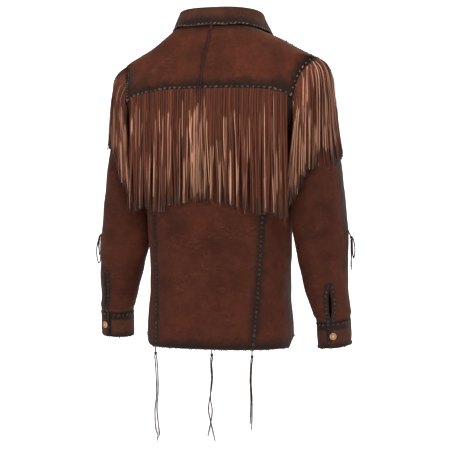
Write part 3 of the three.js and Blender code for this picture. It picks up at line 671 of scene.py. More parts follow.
def ribbons(name, paths, side, out, wide, marks, material):
    """Flat strands. paths is strands x rings x 3, side and out the same, wide strands x rings."""
    half, deep = side * (wide / 2)[..., None], out * (STRAND_THICK / 2)
    corners = np.stack([paths - half + deep, paths + half + deep, paths + half - deep,
                        paths - half - deep], 2)
    count, rings = paths.shape[:2]
    index = np.arange(count * rings * 4).reshape(count, rings, 4)
    a, b = index[:, :-1], index[:, 1:]
    walls = np.stack([a, np.roll(a, -1, 2), np.roll(b, -1, 2), b], -1).reshape(-1, 4)
    ends = np.concatenate([index[:, 0, ::-1], index[:, -1, :]])
    faces = np.concatenate([walls, ends])
    probe = corners.reshape(-1, 3)[walls[0]]
    away = np.cross(probe[1] - probe[0], probe[3] - probe[0]) @ (probe.mean(0) - paths[0, 0])
    faces = faces if away > 0 else faces[:, ::-1]
    marks = {k: np.repeat(v, 4, axis=1).ravel() for k, v in marks.items()}
    marks["across"] = np.tile([-1.0, 1.0, 1.0, -1.0], count * rings)
    return make_mesh(name, lowered(corners.reshape(-1, 3)), faces.tolist(), material, marks, 50)


# Materials ----------------------------------------------------------------------------------

class Wire:
    """A number or colour that leaves a shader node; sums on it add Math nodes."""

    def __init__(self, finish, socket):
        self.finish, self.socket = finish, socket

    def sum(self, operation, *values):
        return self.finish.node("ShaderNodeMath", {"operation": operation}, *values)

    def __add__(self, other):
        return self.sum("ADD", self, other)

    __radd__ = __add__

    def __sub__(self, other):
        return self.sum("SUBTRACT", self, other)

    def __rsub__(self, other):
        return self.sum("SUBTRACT", other, self)

    def __mul__(self, other):
        return self.sum("MULTIPLY", self, other)

    __rmul__ = __mul__


class Finish:
    """A material whose nodes are added by calls."""

    def __init__(self, name, roughness, **constants):
        self.material = bpy.data.materials.new(name)
        self.material.use_nodes = True
        self.tree = self.material.node_tree
        self.surface = self.tree.nodes["Principled BSDF"]
        self.surface.inputs["Roughness"].default_value = roughness
        for label, value in constants.items():
            self.surface.inputs[label.replace("_", " ")].default_value = value
        self.place = self.node("ShaderNodeTexCoord", {}, out="Object")

    def node(self, kind, settings, *values, out=0, **named):
        made = self.tree.nodes.new(kind)
        for key, value in settings.items():
            setattr(made, key, value)
        for key, value in [*enumerate(values), *named.items()]:
            target = made.inputs[key if isinstance(key, int) else key.replace("_", " ")]
            if isinstance(value, Wire):
                self.tree.links.new(value.socket, target)
            elif value is not None:
                target.default_value = value
        return Wire(self, made.outputs[out])

    def noise(self, scale, detail=3.0, roughness=0.5, stretch=(1, 1, 1), at=(0, 0, 0)):
        moved = self.node("ShaderNodeMapping", {}, self.place, Scale=stretch, Location=at)
        return self.node("ShaderNodeTexNoise", {}, moved, Scale=scale, Detail=detail,
                         Roughness=roughness)

    def step(self, value, low, high, to_low=0.0, to_high=1.0):
        return self.node("ShaderNodeMapRange", {"interpolation_type": "SMOOTHSTEP"},
                         value, low, high, to_low, to_high)

    def mark(self, name):
        return self.node("ShaderNodeAttribute", {"attribute_name": name}, out="Fac")

    def mix(self, share, a, b):
        made = self.tree.nodes.new("ShaderNodeMix")
        made.data_type = "RGBA"
        for index, value in ((0, share), (6, a), (7, b)):
            if isinstance(value, Wire):
                self.tree.links.new(value.socket, made.inputs[index])
            else:
                made.inputs[index].default_value = value if index == 0 else (*value, 1.0)
        return Wire(self, made.outputs[2])

    def shaded(self, colour, amount):
        """The colour made darker or lighter by a number around one."""
        return self.node("ShaderNodeVectorMath", {"operation": "SCALE"}, colour, Scale=amount)

    def bump(self, height, distance, strength=1.0):
        made = self.node("ShaderNodeBump", {}, Height=height, Distance=distance, Strength=strength)
        self.tree.links.new(made.socket, self.surface.inputs["Normal"])

    def feed(self, **wires):
        for label, wire in wires.items():
            self.tree.links.new(wire.socket, self.surface.inputs[label.replace("_", " ")])
        return self.material


def srgb(*parts):
    """Linear colour from 0-255 screen values."""
    return tuple((p / 255 / 12.92) if p <= 10 else ((p / 255 + 0.055) / 1.055) ** 2.4
                 for p in parts)


def scaled(colour, amount):
    return tuple(c * amount for c in colour)


MATERIALS = {}


def suede(name, colour, dark, cloudy=0.3):
    """Brushed suede with cloudy dye and a fine nap, dark near seams by wear and painted shade, and
    with painted shade in its creases.
    """
    f = Finish(name, 0.92, Sheen_Weight=0.04, Sheen_Roughness=0.45, Specular_IOR_Level=0.12)
    f.surface.inputs["Sheen Tint"].default_value = (0.8, 0.45, 0.32, 1)
    clouds = f.noise(11, 4, 0.62)
    patches = f.noise(34, 5, 0.62, at=(3, 1, 2))
    nap = f.noise(240, 4, 0.65, stretch=(1, 1, 0.35))
    grain = f.noise(1500, 2, 0.6)
    streaks = f.noise(60, 3, 0.6, stretch=(1, 1, 0.12), at=(5, 0, 1))
    felt = f.noise(115, 3, 0.6, stretch=(0.6, 0.6, 1.3), at=(6, 3, 8))
    tone = (0.29 - cloudy / 2 + cloudy * clouds + 0.34 * patches + 0.3 * nap + 0.5 * felt
            + 0.14 * streaks)
    base = f.mix(f.step(patches * 0.5 + clouds * 0.5, 0.35, 0.68), scaled(colour, 0.88),
                 scaled((colour[0] * 1.08, colour[1] * 1.01, colour[2] * 0.98), 1.07))
    # Painted shade: darker in the creases and lighter on the ridges, by the crease depth.
    base = f.shaded(base, tone * (1 - f.mark("fold") * 0.13))
    # Darkening near seams and edges: the leather's wear together with painted shade.
    edge = f.mark("wear_shade_mask") + (f.noise(90, 4, 0.6, at=(1, 7, 3)) - 0.5) * 0.7
    wear_shade_mask = f.step(edge, 0.14, 0.95)
    lines = f.noise(26, 2, 0.5, stretch=(1, 1, 2.6), at=(4, 2, 9))
    thin = f.node("ShaderNodeMath", {"operation": "ABSOLUTE"}, lines - 0.5)
    scratch = f.step(thin, 0.0, 0.03, 1.0, 0.0) * f.step(f.noise(19, 2), 0.48, 0.62)
    base = f.mix(scratch * 0.4, base, scaled(colour, 1.9))
    base = f.mix(wear_shade_mask * 0.94, base, wear_shade_colour(f, dark, nap))
    base = f.mix(f.mark("lining") * 0.6, base, scaled(colour, 1.15))
    f.bump(grain * 0.5 + nap * 0.35 + patches * 0.25, 0.0009, 0.55)
    return f.feed(Base_Color=base, Roughness=0.97 - wear_shade_mask * 0.22 - nap * 0.08)


# Dark colour of the seams' wear and painted shade.
def wear_shade_colour(f, dark, nap):
    return f.shaded(f.mix(nap, scaled(dark, 0.75), scaled(dark, 1.25)), 0.8 + 0.4 * f.noise(420, 2))


def strand_finish(name, grain_side, flesh, tip):
    """Strands: red-brown grain side, pale flesh side and dark worn tips, with painted shade along
    each strand's edges.
    """
    f = Finish(name, 0.88, Sheen_Weight=0.04, Sheen_Roughness=0.5, Specular_IOR_Level=0.2)
    fibres = f.noise(320, 3, 0.6, stretch=(1, 1, 0.12))
    blot = f.noise(45, 4, 0.6, stretch=(1, 1, 0.4), at=(2, 5, 1))
    light = f.step(f.mark("light") + (blot - 0.5) * 0.5, 0.25, 0.75)
    base = f.mix(light, grain_side, flesh)
    # Painted shade: each strand darker along its edges, for the dark gaps between strands.
    rim = f.step(f.node("ShaderNodeMath", {"operation": "ABSOLUTE"}, f.mark("across")), 0.5, 1.0)
    base = f.shaded(base, f.mark("tone") * (0.6 + 0.8 * fibres) * (1 - rim * 0.6))
    rub = f.step(f.mark("tip") + (blot - 0.5) * 0.35, 0.3, 0.9)
    base = f.mix(rub * 0.8, base, tip)
    f.bump(fibres, 0.0006, 0.5)
    return f.feed(Base_Color=base)


def leather_finish(name, colour, middle=1.0):
    """Thong leather with scuffs; middle is painted shade on the inner part of each flat stitch, for
    the hollow of a chain link.
    """
    roughness = 0.75
    f = Finish(name, roughness, Specular_IOR_Level=0.25)
    scuff = f.noise(420, 3, 0.6, stretch=(1, 1, 0.5))
    base = f.mix(f.step(scuff, 0.35, 0.7), scaled(colour, 0.55), scaled(colour, 1.35))
    base = f.shaded(base, 0.2 + 1.6 * f.noise(75, 2, 0.5, at=(8, 1, 4)))
    # Painted shade along the middle of each stitch.
    if middle < 1:
        bead = f.node("ShaderNodeAttribute", {"attribute_name": "bead"}, out="Vector")
        off = f.node("ShaderNodeMath", {"operation": "ABSOLUTE"},
                     f.node("ShaderNodeSeparateXYZ", {}, bead, out="Y"))
        base = f.shaded(base, f.step(off, 0.1, 0.34, middle, 1.0))
    f.bump(scuff, 0.0005, 0.5)
    return f.feed(Base_Color=base, Roughness=roughness - 0.15 * scuff + 0.08)


def brass_finish(name, colour):
    """Worn brass, dark in its hollows."""
    f = Finish(name, 0.38, Metallic=0.75)
    pits = f.noise(700, 3, 0.6)
    hollow = f.step(f.mark("hollow") + (pits - 0.5) * 0.4, 0.2, 0.9)
    base = f.mix(hollow, scaled(colour, 1.05), scaled(colour, 0.3))
    f.bump(pits, 0.0004, 0.6)
    return f.feed(Base_Color=base, Roughness=0.34 + 0.3 * hollow)


def paper_finish(name, level):
    """Pale paper that glows by the mark of that name, so that its far parts stay white."""
    f = Finish(name, 0.95, Specular_IOR_Level=0.1, Emission_Strength=0.7)
    fine = f.noise(3, 2)
    return f.feed(Base_Color=f.mix(fine, (level, level, level), (level * 1.01,) * 3),
                  Emission_Color=f.mix(f.mark("glow"), (0, 0, 0), (1, 1, 1)))


def make_materials(colours):
    MATERIALS["suede"] = suede("suede", colours.suede, colours.wear_and_shade)
    MATERIALS["yoke"] = suede("yoke_suede", colours.yoke, colours.wear_and_shade, 0.75)
    MATERIALS["sleeve"] = suede("sleeve_suede", colours.sleeve, colours.wear_and_shade)
    MATERIALS["collar"] = suede("collar_suede", colours.collar, colours.wear_and_shade, 0.7)
    MATERIALS["fringe"] = strand_finish("fringe_suede", colours.strand, colours.flesh, colours.tip)
    MATERIALS["stitch"] = leather_finish("stitch_leather", colours.stitch)
    MATERIALS["chain"] = leather_finish("chain_stitch_leather", scaled(colours.stitch, 0.85), 0.2)
    MATERIALS["stitch_dark"] = leather_finish("dark_stitch_leather", colours.stitch_dark)
    MATERIALS["stitch_mid"] = leather_finish("cuff_stitch_leather", colours.stitch_mid)
    MATERIALS["stitch_blue"] = leather_finish("placket_stitch_leather", colours.stitch_blue)
    MATERIALS["lace"] = leather_finish("lace_leather", colours.lace)
    MATERIALS["brass"] = brass_finish("old_brass", colours.brass)
    MATERIALS["paper"] = paper_finish("pale_floor", 0.96)


# Stitches -----------------------------------------------------------------------------------

def socket_of(tree, label):
    return next(s.identifier for s in tree.interface.items_tree
                if s.item_type == "SOCKET" and s.in_out == "INPUT" and s.name == label)


def stitch_tree():
    """Nodes that lay a rounded stitch at every pitch along a route, turned to the cloth."""
    tree = bpy.data.node_groups.new("Stitch row", "GeometryNodeTree")
    new = tree.interface.new_socket
    new("Route", in_out="INPUT", socket_type="NodeSocketGeometry")
    for label in ("Pitch", "Length", "Width", "Height", "Lean", "Wobble"):
        new(label, in_out="INPUT", socket_type="NodeSocketFloat")
    new("Seed", in_out="INPUT", socket_type="NodeSocketInt")
    new("Material", in_out="INPUT", socket_type="NodeSocketMaterial")
    new("Stitches", in_out="OUTPUT", socket_type="NodeSocketGeometry")
    nodes, links = tree.nodes, tree.links

    def add(kind, settings=None, **inputs):
        made = nodes.new(kind)
        for key, value in (settings or {}).items():
            setattr(made, key, value)
        for key, value in inputs.items():
            target = made.inputs[int(key[1:]) if key[0] == "i" and key[1:].isdigit()
                                 else key.replace("_", " ")]
            if isinstance(value, bpy.types.NodeSocket):
                links.new(value, target)
            else:
                target.default_value = value
        return made

    given = nodes.new("NodeGroupInput").outputs
    line = add("GeometryNodeMeshToCurve", Mesh=given["Route"])
    spaced = add("GeometryNodeResampleCurve", {"mode": "LENGTH"}, Curve=line.outputs[0],
                 Length=given["Pitch"])
    out = add("GeometryNodeInputNamedAttribute", {"data_type": "FLOAT_VECTOR"}, Name="out")
    way = add("GeometryNodeInputTangent")
    facing = add("FunctionNodeAxesToRotation", {"primary_axis": "Z", "secondary_axis": "X"},
                 Primary_Axis=out.outputs[0], Secondary_Axis=way.outputs[0])
    wobble = add("FunctionNodeRandomValue", {"data_type": "FLOAT"}, i2=-1.0, i3=1.0,
                 Seed=given["Seed"])
    shake = add("ShaderNodeMath", {"operation": "MULTIPLY_ADD"}, i0=wobble.outputs[1],
                i1=given["Wobble"], i2=given["Lean"])
    lean = add("FunctionNodeAxisAngleToRotation", Axis=(0, 0, 1), Angle=shake.outputs[0])
    turned = add("FunctionNodeRotateRotation", {"rotation_space": "LOCAL"},
                 Rotation=facing.outputs[0], Rotate_By=lean.outputs[0])
    size = add("ShaderNodeCombineXYZ", X=given["Length"], Y=given["Width"], Z=given["Height"])
    other = add("ShaderNodeMath", {"operation": "ADD"}, i0=given["Seed"], i1=11.0)
    vary = add("FunctionNodeRandomValue", {"data_type": "FLOAT"}, i2=0.5, i3=1.15,
               Seed=other.outputs[0])
    scale = add("ShaderNodeVectorMath", {"operation": "SCALE"}, i0=size.outputs[0],
                Scale=vary.outputs[1])
    bead = add("GeometryNodeMeshUVSphere", Segments=8, Rings=6, Radius=0.5)
    spot = add("GeometryNodeInputPosition")
    known = add("GeometryNodeStoreNamedAttribute", {"data_type": "FLOAT_VECTOR", "domain": "POINT"},
                Geometry=bead.outputs[0], Name="bead", Value=spot.outputs[0])
    laid = add("GeometryNodeInstanceOnPoints", Points=spaced.outputs[0], Instance=known.outputs[0],
               Rotation=turned.outputs[0], Scale=scale.outputs[0])
    real = add("GeometryNodeRealizeInstances", Geometry=laid.outputs[0])
    soft = add("GeometryNodeSetShadeSmooth", Geometry=real.outputs[0])
    done = add("GeometryNodeSetMaterial", Geometry=soft.outputs[0], Material=given["Material"])
    links.new(done.outputs[0], nodes.new("NodeGroupOutput").inputs[0])
    return tree


def stitch_rows(name, routes, material, seed, pitch, size, lean, wobble):
    """One piece of stitches along routes, each a list of points and a list of outward normals.

    size is the length, width and height of a stitch in millimetres.
    """
    points, ways, edges = [], [], []
    for line, out in routes:
        edges += [(len(points) + k, len(points) + k + 1) for k in range(len(line) - 1)]
        points += (lowered(line) * MM).tolist()
        ways += unit(out).tolist()
    data = bpy.data.meshes.new(f"{name}_route")
    data.from_pydata(points, edges, [])
    data.attributes.new("out", "FLOAT_VECTOR", "POINT").data.foreach_set("vector", np.ravel(ways))
    route = add_object(f"{name}_route", data)
    tree = bpy.data.node_groups.get("Stitch row") or stitch_tree()
    row = route.modifiers.new("Stitch row", "NODES")
    row.node_group = tree
    long, wide, high = (value * MM for value in size)
    for label, value in {"Pitch": pitch, "Length": long, "Width": wide, "Height": high,
                         "Lean": lean, "Wobble": wobble, "Seed": seed,
                         "Material": MATERIALS[material]}.items():
        row[socket_of(tree, label)] = value
    graph = bpy.context.evaluated_depsgraph_get()
    made = bpy.data.meshes.new_from_object(route.evaluated_get(graph))
    route.modifiers.remove(row)
    bpy.data.objects.remove(route)
    made.name = name
    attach(add_object(name, made), "root")


CORE = np.array([0, 0, -300.0])


def on_surface(place, u, v, lift, inside=CORE):
    """A route on a surface and its outward normals, from the surface's own coordinates."""
    u, v = np.broadcast_arrays(np.asarray(u, float), np.asarray(v, float))
    p = place(u, v)
    h = 1e-3
    n = unit(np.cross(place(u + h, v) - place(u - h, v), place(u, v + h) - place(u, v - h)))
    n = n * np.sign(((p - inside) * n).sum(-1))[..., None]
    return p + n * (relief(p) + lift)[..., None], n


# Sizes and colours --------------------------------------------------------------------------

def length(name, description, default):
    return FloatProperty(name=name, description=description, default=default * MM, min=0,
                         unit="LENGTH", precision=4)


def colour(name, description, *parts):
    return FloatVectorProperty(name=name, description=description, default=srgb(*parts), size=3,
                               min=0, max=1, subtype="COLOR")


class ShirtSizes(PropertyGroup):
    """Sizes of the sewn detail."""

    lace: length("Lace", "Diameter of the laces", 3.0)
    strand: length("Strand", "Width of a fringe strand", 3.35)
    strand_pitch: length("Strand spacing", "Distance between strands of one layer", 3.15)
    seam_pitch: length("Seam stitches", "Distance between stitches along a seam", 7.6)
    whip_pitch: length("Edge stitches", "Distance between whip stitches over an edge", 5.4)
    button: length("Button", "Diameter of a button", 15.4)
    seed: IntProperty(name="Seed", description="Fixed start of the uneven detail", default=7, min=0)


class ShirtColours(PropertyGroup):
    """Dyes and finishes."""

    suede: colour("Suede", "Body panels", 74, 37.5, 26)
    yoke: colour("Yoke", "Back yoke", 85, 44, 30)
    sleeve: colour("Sleeve", "Sleeves", 69, 35, 24.5)
    collar: colour("Collar", "Collar", 71, 43, 32)
    # Dark colour near seams and edges, for the leather's wear and painted shade.
    wear_and_shade: colour("Rubbed edge", "Dark rubbed seams and edges", 32, 21, 16)
    strand: colour("Strand, grain side", "Red-brown side of the fringe", 96, 50, 34)
    flesh: colour("Strand, flesh side", "Pale side of the fringe", 172, 122, 96)
    tip: colour("Strand tip", "Dark ends of the fringe", 50, 39, 34)
    stitch: colour("Stitches", "Leather lace through the seams", 140, 120, 114)
    stitch_dark: colour("Dark stitches", "Lace over the hem and through the long seams", 66, 52, 47)
    stitch_mid: colour("Cuff stitches", "Lace along the top of the cuffs", 88, 69, 61)
    stitch_blue: colour("Placket stitches", "Lace round the slits", 48, 46, 50)
    lace: colour("Lace", "Hanging laces", 58, 32, 27)
    brass: colour("Brass", "Buttons", 205, 160, 118)


# Operators ----------------------------------------------------------------------------------

class Piece(Operator):
    """Base of the operators that make pieces."""

    bl_options = {"REGISTER", "UNDO"}

    def execute(self, context):
        if not MATERIALS:
            settle_seams()
            make_materials(context.scene.shirt_colours)
        self.make(context.scene.shirt_sizes)
        return {"FINISHED"}


class SHIRT_OT_camera(Piece):
    """Place the camera behind the shirt"""

    bl_idname = "shirt.camera"
    bl_label = "Camera"

    def make(self, sizes):
        data = bpy.data.cameras.new("camera")
        data.lens, data.sensor_width = 101.68, 36
        data.shift_x, data.shift_y = 0.0122, -0.0575
        data.clip_end = 60
        camera = add_object("camera", data)
        camera.location = (-0.927, 2.853, -0.388)
        camera.rotation_euler = Vector((0.309, -0.951, 0)).to_track_quat("-Z", "Y").to_euler()
        bpy.context.scene.camera = camera


# Laces: knot, then the points of each strand from the knot
HEM_LACES = {
    "columns": ["name", "knot", "first", "second"],
    "rows": [
        ["left", [124.6, 100.3, -741],
         [[-1.6, -1.8, -4.3], [-4.6, -1.8, -42], [-5.3, -1.8, -92], [-2.7, -1.8, -125],
          [-8.2, -1.8, -180], [-9.7, -1.8, -190]],
         [[1.6, 1.8, -4.3], [-1.5, 1.9, -42], [-3.1, 1.9, -95], [0.7, 1.9, -130],
          [-1.9, 1.9, -176], [-6.6, 1.9, -188], [-4.6, 1.9, -201]]],
        ["middle", [-21, 128.1, -737],
         [[-1.6, -1.8, -4.3], [0.4, -1.8, -18], [-1.4, -1.8, -50], [1, -1.8, -74],
          [8.3, -1.8, -122], [2.6, -1.8, -152], [-7.6, -1.8, -194]],
         [[1.6, 1.8, -4.3], [2, 1.8, -18], [0.6, 1.8, -50], [2.4, 1.8, -98],
          [-1.7, 1.8, -124], [2.6, 1.8, -155], [8.5, 1.8, -182]]],
        ["right", [-109.7, 108.9, -740],
         [[-1.6, -1.8, -4.3], [0.4, -1.8, -14], [2.3, -1.8, -54], [0.4, -1.8, -94],
          [0.6, -1.8, -131], [1.6, -1.8, -164]],
         [[1.6, 1.8, -4.3], [2.4, 1.8, -14], [4.1, 1.8, -54], [2.2, 1.8, -94],
          [2.6, 1.8, -120], [4, 1.8, -150]]],
    ],
}
NAPE_KNOT = [-8.7, 95.6, 9]
NAPE_LACE = {
    "columns": ["name", "points"],
    "rows": [
        ["first", [[-10.4, 96.7, 4.8], [-9.2, 99.3, -6], [-6.8, 104.4, -22], [-3.8, 114.1, -48],
                   [-0.6, 120.6, -72], [3.2, 127, -100], [4.4, 132.6, -124], [5.6, 141.5, -146],
                   [5.8, 143.8, -170]]],
        ["second", [[-7, 96.7, 4.8], [-3.4, 99.3, -6], [-0.2, 104.4, -22], [3.4, 114.1, -48],
                    [6.4, 119.2, -66], [7.6, 124, -85], [8.2, 129, -108], [9.6, 136.4, -132],
                    [13.2, 141.6, -148]]],
    ],
}
BOW_KNOT = [310, -14, -474]
BOW = {
    "columns": ["name", "points"],
    "rows": [
        ["front_loop", [[5.6, -1.4, -0.4], [9, -6, -8], [12, -12, -24], [11, -13, -38],
                        [8, -8, -47], [6, -2, -40], [5.4, 1, -26], [3.4, 0.5, -3.9]]],
        ["back_loop", [[1.4, 5.3, -0.8], [4, 10, -14], [5, 16, -34], [3, 18, -52], [1, 13, -66],
                       [0, 6, -62], [0, 4, -44], [-0.6, 4.6, -24], [-1.7, 4, -4.3]]],
        ["tail", [[-0.9, -3.9, -3.9], [-2.4, -7, -20], [-2.4, -9, -40], [-1.6, -6.5, -58],
                  [-1, -8, -74]]],
    ],
}


LACE_STEPS = 7


def eased(points):
    """Smooth line through points, closer spaced than they are."""
    p = np.asarray(points, float)
    p = np.concatenate([[2 * p[0] - p[1]], p, [2 * p[-1] - p[-2]]])
    line = []
    for k in range(1, len(p) - 2):
        gaps = [max(np.linalg.norm(p[k + m + 1] - p[k + m]), 1e-6) ** 0.5 for m in (-1, 0, 1)]
        t0, t1 = 0.0, gaps[0]
        t2, t3 = t1 + gaps[1], t1 + gaps[1] + gaps[2]
        for t in np.linspace(t1, t2, LACE_STEPS, endpoint=False):
            a1 = (t1 - t) / (t1 - t0) * p[k - 1] + (t - t0) / (t1 - t0) * p[k]
            a2 = (t2 - t) / (t2 - t1) * p[k] + (t - t1) / (t2 - t1) * p[k + 1]
            a3 = (t3 - t) / (t3 - t2) * p[k + 1] + (t - t2) / (t3 - t2) * p[k + 2]
            b1 = (t2 - t) / (t2 - t0) * a1 + (t - t0) / (t2 - t0) * a2
            b2 = (t3 - t) / (t3 - t1) * a2 + (t - t1) / (t3 - t1) * a3
            line.append((t2 - t) / (t2 - t1) * b1 + (t - t1) / (t2 - t1) * b2)
    return np.array([*line, p[-2]])


def finish_piece(made, node):
    """Says what a piece rides on and hides the part that it replaces."""
    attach(made, "root")
    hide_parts(node)
    return made


def make_lace(name, points, sizes, far_end):
    """A limp leather lace as one curve."""
    line = eased(points) * MM
    data = bpy.data.curves.new(name, "CURVE")
    data.dimensions = "3D"
    data.bevel_depth, data.bevel_resolution, data.use_fill_caps = sizes.lace / 2, 2, True
    spline = data.splines.new("POLY")
    spline.points.add(len(line) - 1)
    for k, (target, p) in enumerate(zip(spline.points, line)):
        target.co = (*p, 1)
        taper = 0.82 if far_end == "bare" and k > len(line) - 4 else 1.0
        target.radius = taper * (1 + 0.07 * math.sin(k * 1.9) + 0.05 * math.sin(k * 0.7))
    made = add_object(name, data, MATERIALS["lace"])
    spline.use_smooth = True
    finish_piece(made, name)
    long = float(np.linalg.norm(np.diff(line, axis=0), axis=1).sum())


def make_knot(name, at, toward, stem):
    """Overhand knot in a thin lace, with the short stem that it hangs by."""
    t = np.linspace(0, 2 * math.pi, 60, endpoint=False)
    loop = np.stack([np.sin(t) + 2 * np.sin(2 * t), np.cos(t) - 2 * np.cos(2 * t),
                     -1.15 * np.sin(3 * t)], -1) * 1.02
    up = unit(np.array(toward, float))
    across = unit(np.cross(up, [0.2, 0.9, 0.1]))
    turn = np.stack([across, np.cross(up, across), up])
    loop = loop[:, [0, 2, 1]] @ turn
    points, faces = tube(np.concatenate([loop, loop[:1]]), 1.45)
    rod, more = tube(np.array([up * 0.5, up * (stem / 2), up * stem]), 1.5)
    faces = faces + [[k + len(points) for k in face] for face in more]
    points = np.concatenate([points, rod]) + np.array(at, float)
    return finish_piece(ragged_mesh(name, points, faces, MATERIALS["lace"]), name)


class SHIRT_OT_laces(Piece):
    """Make the hanging laces, the nape lace and the sleeve bows, with their knots"""

    bl_idname = "shirt.laces"
    bl_label = "Laces"

    def make(self, sizes):
        for name, knot, first, second in HEM_LACES["rows"]:
            tied = make_knot(f"hem_knot_{name}", knot, (0, 0, 1), HEM_Z - 0.3 - knot[2])
            move = np.array(knot)
            make_lace(f"hem_lace_{name}_first", move + first, sizes, "bare")
            make_lace(f"hem_lace_{name}_second", move + second, sizes, "bare")
        tied = make_knot("nape_knot", NAPE_KNOT, (0, -0.25, 0.97), 5)
        for name, points in NAPE_LACE["rows"]:
            make_lace(f"nape_lace_{name}", points, sizes, "bare")
        for side, sign in SIDES.items():
            at = mirrored(np.array(BOW_KNOT), sign)
            tied = make_knot(f"bow_knot_{side}", at, (-0.42 * sign, 0, 0.9), 20.5)
            close = 1.0 if sign > 0 else 0.55
            for name, points in BOW["rows"]:
                line = mirrored(np.array(points) * [close, close, 1] + BOW_KNOT, sign)
                make_lace(f"bow_{side}_{name}", line, sizes, "bare" if name == "tail" else "object")


# How far the yoke's edge stands out over the panels, and these are tucked in under it
YOKE_LAP = 1.9


class SHIRT_OT_back(Piece):
    """Make the yoke and the three panels of the back"""

    bl_idname = "shirt.back"
    bl_label = "Back"

    def make(self, sizes):
        rows = np.unique(np.concatenate([np.linspace(14, 15, 16), np.linspace(15, 24, 66)]))
        r, c = np.meshgrid(rows, np.linspace(-1, 1, 241) * 0.9985, indexing="ij")
        plain = back_at(r, c)
        inside = plain * [0.3, 0, 1] - [0, 0, 60]
        names = ["yoke", "yoke_end_shade", "neck", "arm_left", "arm_right", "shoulder_left",
                 "shoulder_right"]
        lap = YOKE_LAP * (1 - smooth(14.0, 14.8, r))
        made = cloth("back_yoke", settle(plain, inside, calm(r, c)), inside, MATERIALS["yoke"],
                     suede_marks(plain, names), lift=lap)
        finish_piece(made, "back_yoke")
        up = np.unique(np.concatenate([np.linspace(0, 3, 46), np.linspace(3, 14, 120),
                                       np.linspace(14, 14.35, 4)]))
        r, u = np.meshgrid(up, np.linspace(-0.999, 0.999, 91), indexing="ij")
        plain = back_at(r, u * panel_share(r, u))
        names = ["yoke", "panel_left", "panel_right", "hem"]
        self.panel("back_centre", plain, r, names, (0.27, 0.6), 0.15)
        for name, side in SIDES.items():
            r, u = np.meshgrid(up, np.linspace(0.002, 0.998, 46), indexing="ij")
            plain = back_at(r, side * lerp(panel_share(r, side), 1, u))
            names = ["yoke", f"panel_{name}", "hem", f"vent_{name}", f"side_{name}", f"arm_{name}"]
            self.panel(f"back_side_{name}", plain, r, names, (0.17, 0.6), 0.075, calm(r, u))

    def panel(self, name, plain, row, names, flat, area, amount=1.0):
        """A long panel whose top edge is tucked under the yoke."""
        inside = plain * [0.3, 0, 1]
        tuck = -YOKE_LAP * smooth(13.75, 14.0, row)
        made = cloth(name, settle(plain, inside, amount), inside, MATERIALS["suede"],
                     suede_marks(plain, names), lift=tuck)
        finish_piece(made, name)


def flap_rise(across, side):
    """How far a front's hem rises towards its vent."""
    gap = (1 - across) * FRONT_WIDE
    if side > 0:
        return 32 * (1 - smooth(10, 130, gap))
    return 7 + 13 * smooth(0, 32, gap) - 20 * smooth(60, 160, gap)


class SHIRT_OT_fronts(Piece):
    """Make the two fronts"""

    bl_idname = "shirt.fronts"
    bl_label = "Fronts"

    def make(self, sizes):
        up = np.unique(np.concatenate([np.linspace(0, 3, 46), np.linspace(3, FRONT_TOP, 190)]))
        for name, side in SIDES.items():
            r, u = np.meshgrid(up, np.linspace(0.001, 0.998, 110), indexing="ij")
            plain = front_at(r, u, side, True)
            plain[..., 2] += flap_rise(u, side) * (1 - smooth(0, 3, r))
            inside = plain * [0.3, 0, 1] - [0, 0, 40]
            parts = ("open", "hem", "vent", "side", "arm", "shoulder")
            made = cloth(f"front_{name}", settle(plain, inside, calm(r, u)), inside,
                         MATERIALS["suede"], suede_marks(plain, [f"{p}_{name}" for p in parts]))
            finish_piece(made, f"front_{name}")


class SHIRT_OT_sleeves(Piece):
    """Make the sleeves, each of a back and a front piece, with the slit above the cuff"""

    bl_idname = "shirt.sleeves"
    bl_label = "Sleeves"

    def make(self, sizes):
        for name, side in SIDES.items():
            top = SLIT_ROWS[name]
            rows = np.unique(np.concatenate([np.linspace(0, 1, 26), np.linspace(1, top - 0.1, 150),
                                             np.linspace(top - 0.1, top, 4),
                                             np.linspace(top, 10.98, 66)]))
            self.half(name, side, "back", 1, rows)
            self.half(name, side, "front", -1, np.concatenate([rows, [11.02, 11.1]]))

    def half(self, name, side, face, turn, rows):
        """The back or the front piece, whose lower end is tucked into the cuff."""
        r, a = np.meshgrid(rows, np.array(SLEEVE_ANGLES, float), indexing="ij")
        wide = slit_half(r, name)
        off, middle = a - SLIT_MIDDLE, slit_turn(r, name)
        if face == "back":
            share = (np.abs(off) - SLIT_GAP) / (SLIT_REACH - SLIT_GAP)
            pulled = middle + np.sign(off) * lerp(wide, SLIT_REACH, share)
            moved = a + (middle - SLIT_MIDDLE) * smooth(70, SLIT_REACH, np.abs(off))
            a = np.where(np.abs(off) < SLIT_REACH, pulled, moved)
        plain = mirrored(sleeve_at(r, turn * a), side)
        axis = sleeve_axis(np.maximum(rows, 0.6))[:, None]
        inside = mirrored(np.broadcast_to(axis, plain.shape), side)
        keep = np.ones((len(rows) - 1, a.shape[1] - 1), bool)
        lift = 1.8 * np.exp(-((r - 10.55) / 0.28) ** 2) * smooth(0, 0.5, CUFF_ROW - r)
        if face == "back":
            top = SLIT_ROWS[name]
            keep[:, SLIT_COLUMN] = (rows[:-1] < top - 1e-6) | (rows[:-1] > SLIT_CLOSED)
            across = np.maximum(np.abs(a - middle) - wide, 0)
            above = np.maximum(top - r, 0) * 48
            lift = lift + 1.6 * (1 - smooth(10.0, 11.5, np.hypot(across, above)))
        parts = ("arm", "outer", "lower", "under", "wrist", "slit")
        names = [f"{part}_{name}" for part in parts[: 6 if face == "back" else 5]]
        lift = lift + 3.0 * (1 - smooth(0.1, 0.9, r)) * (1 - smooth(40, 85, np.abs(a)))
        lift = lift - 2.0 * smooth(10.96, 11.02, r)
        rough = SLEEVE_RELIEF * smooth(0, 0.6, r)
        made = cloth(f"sleeve_{name}_{face}", settle(plain, inside, rough), inside,
                     MATERIALS["sleeve"], suede_marks(plain, names), keep=keep, lift=lift)
        finish_piece(made, f"sleeve_{name}_{face}")


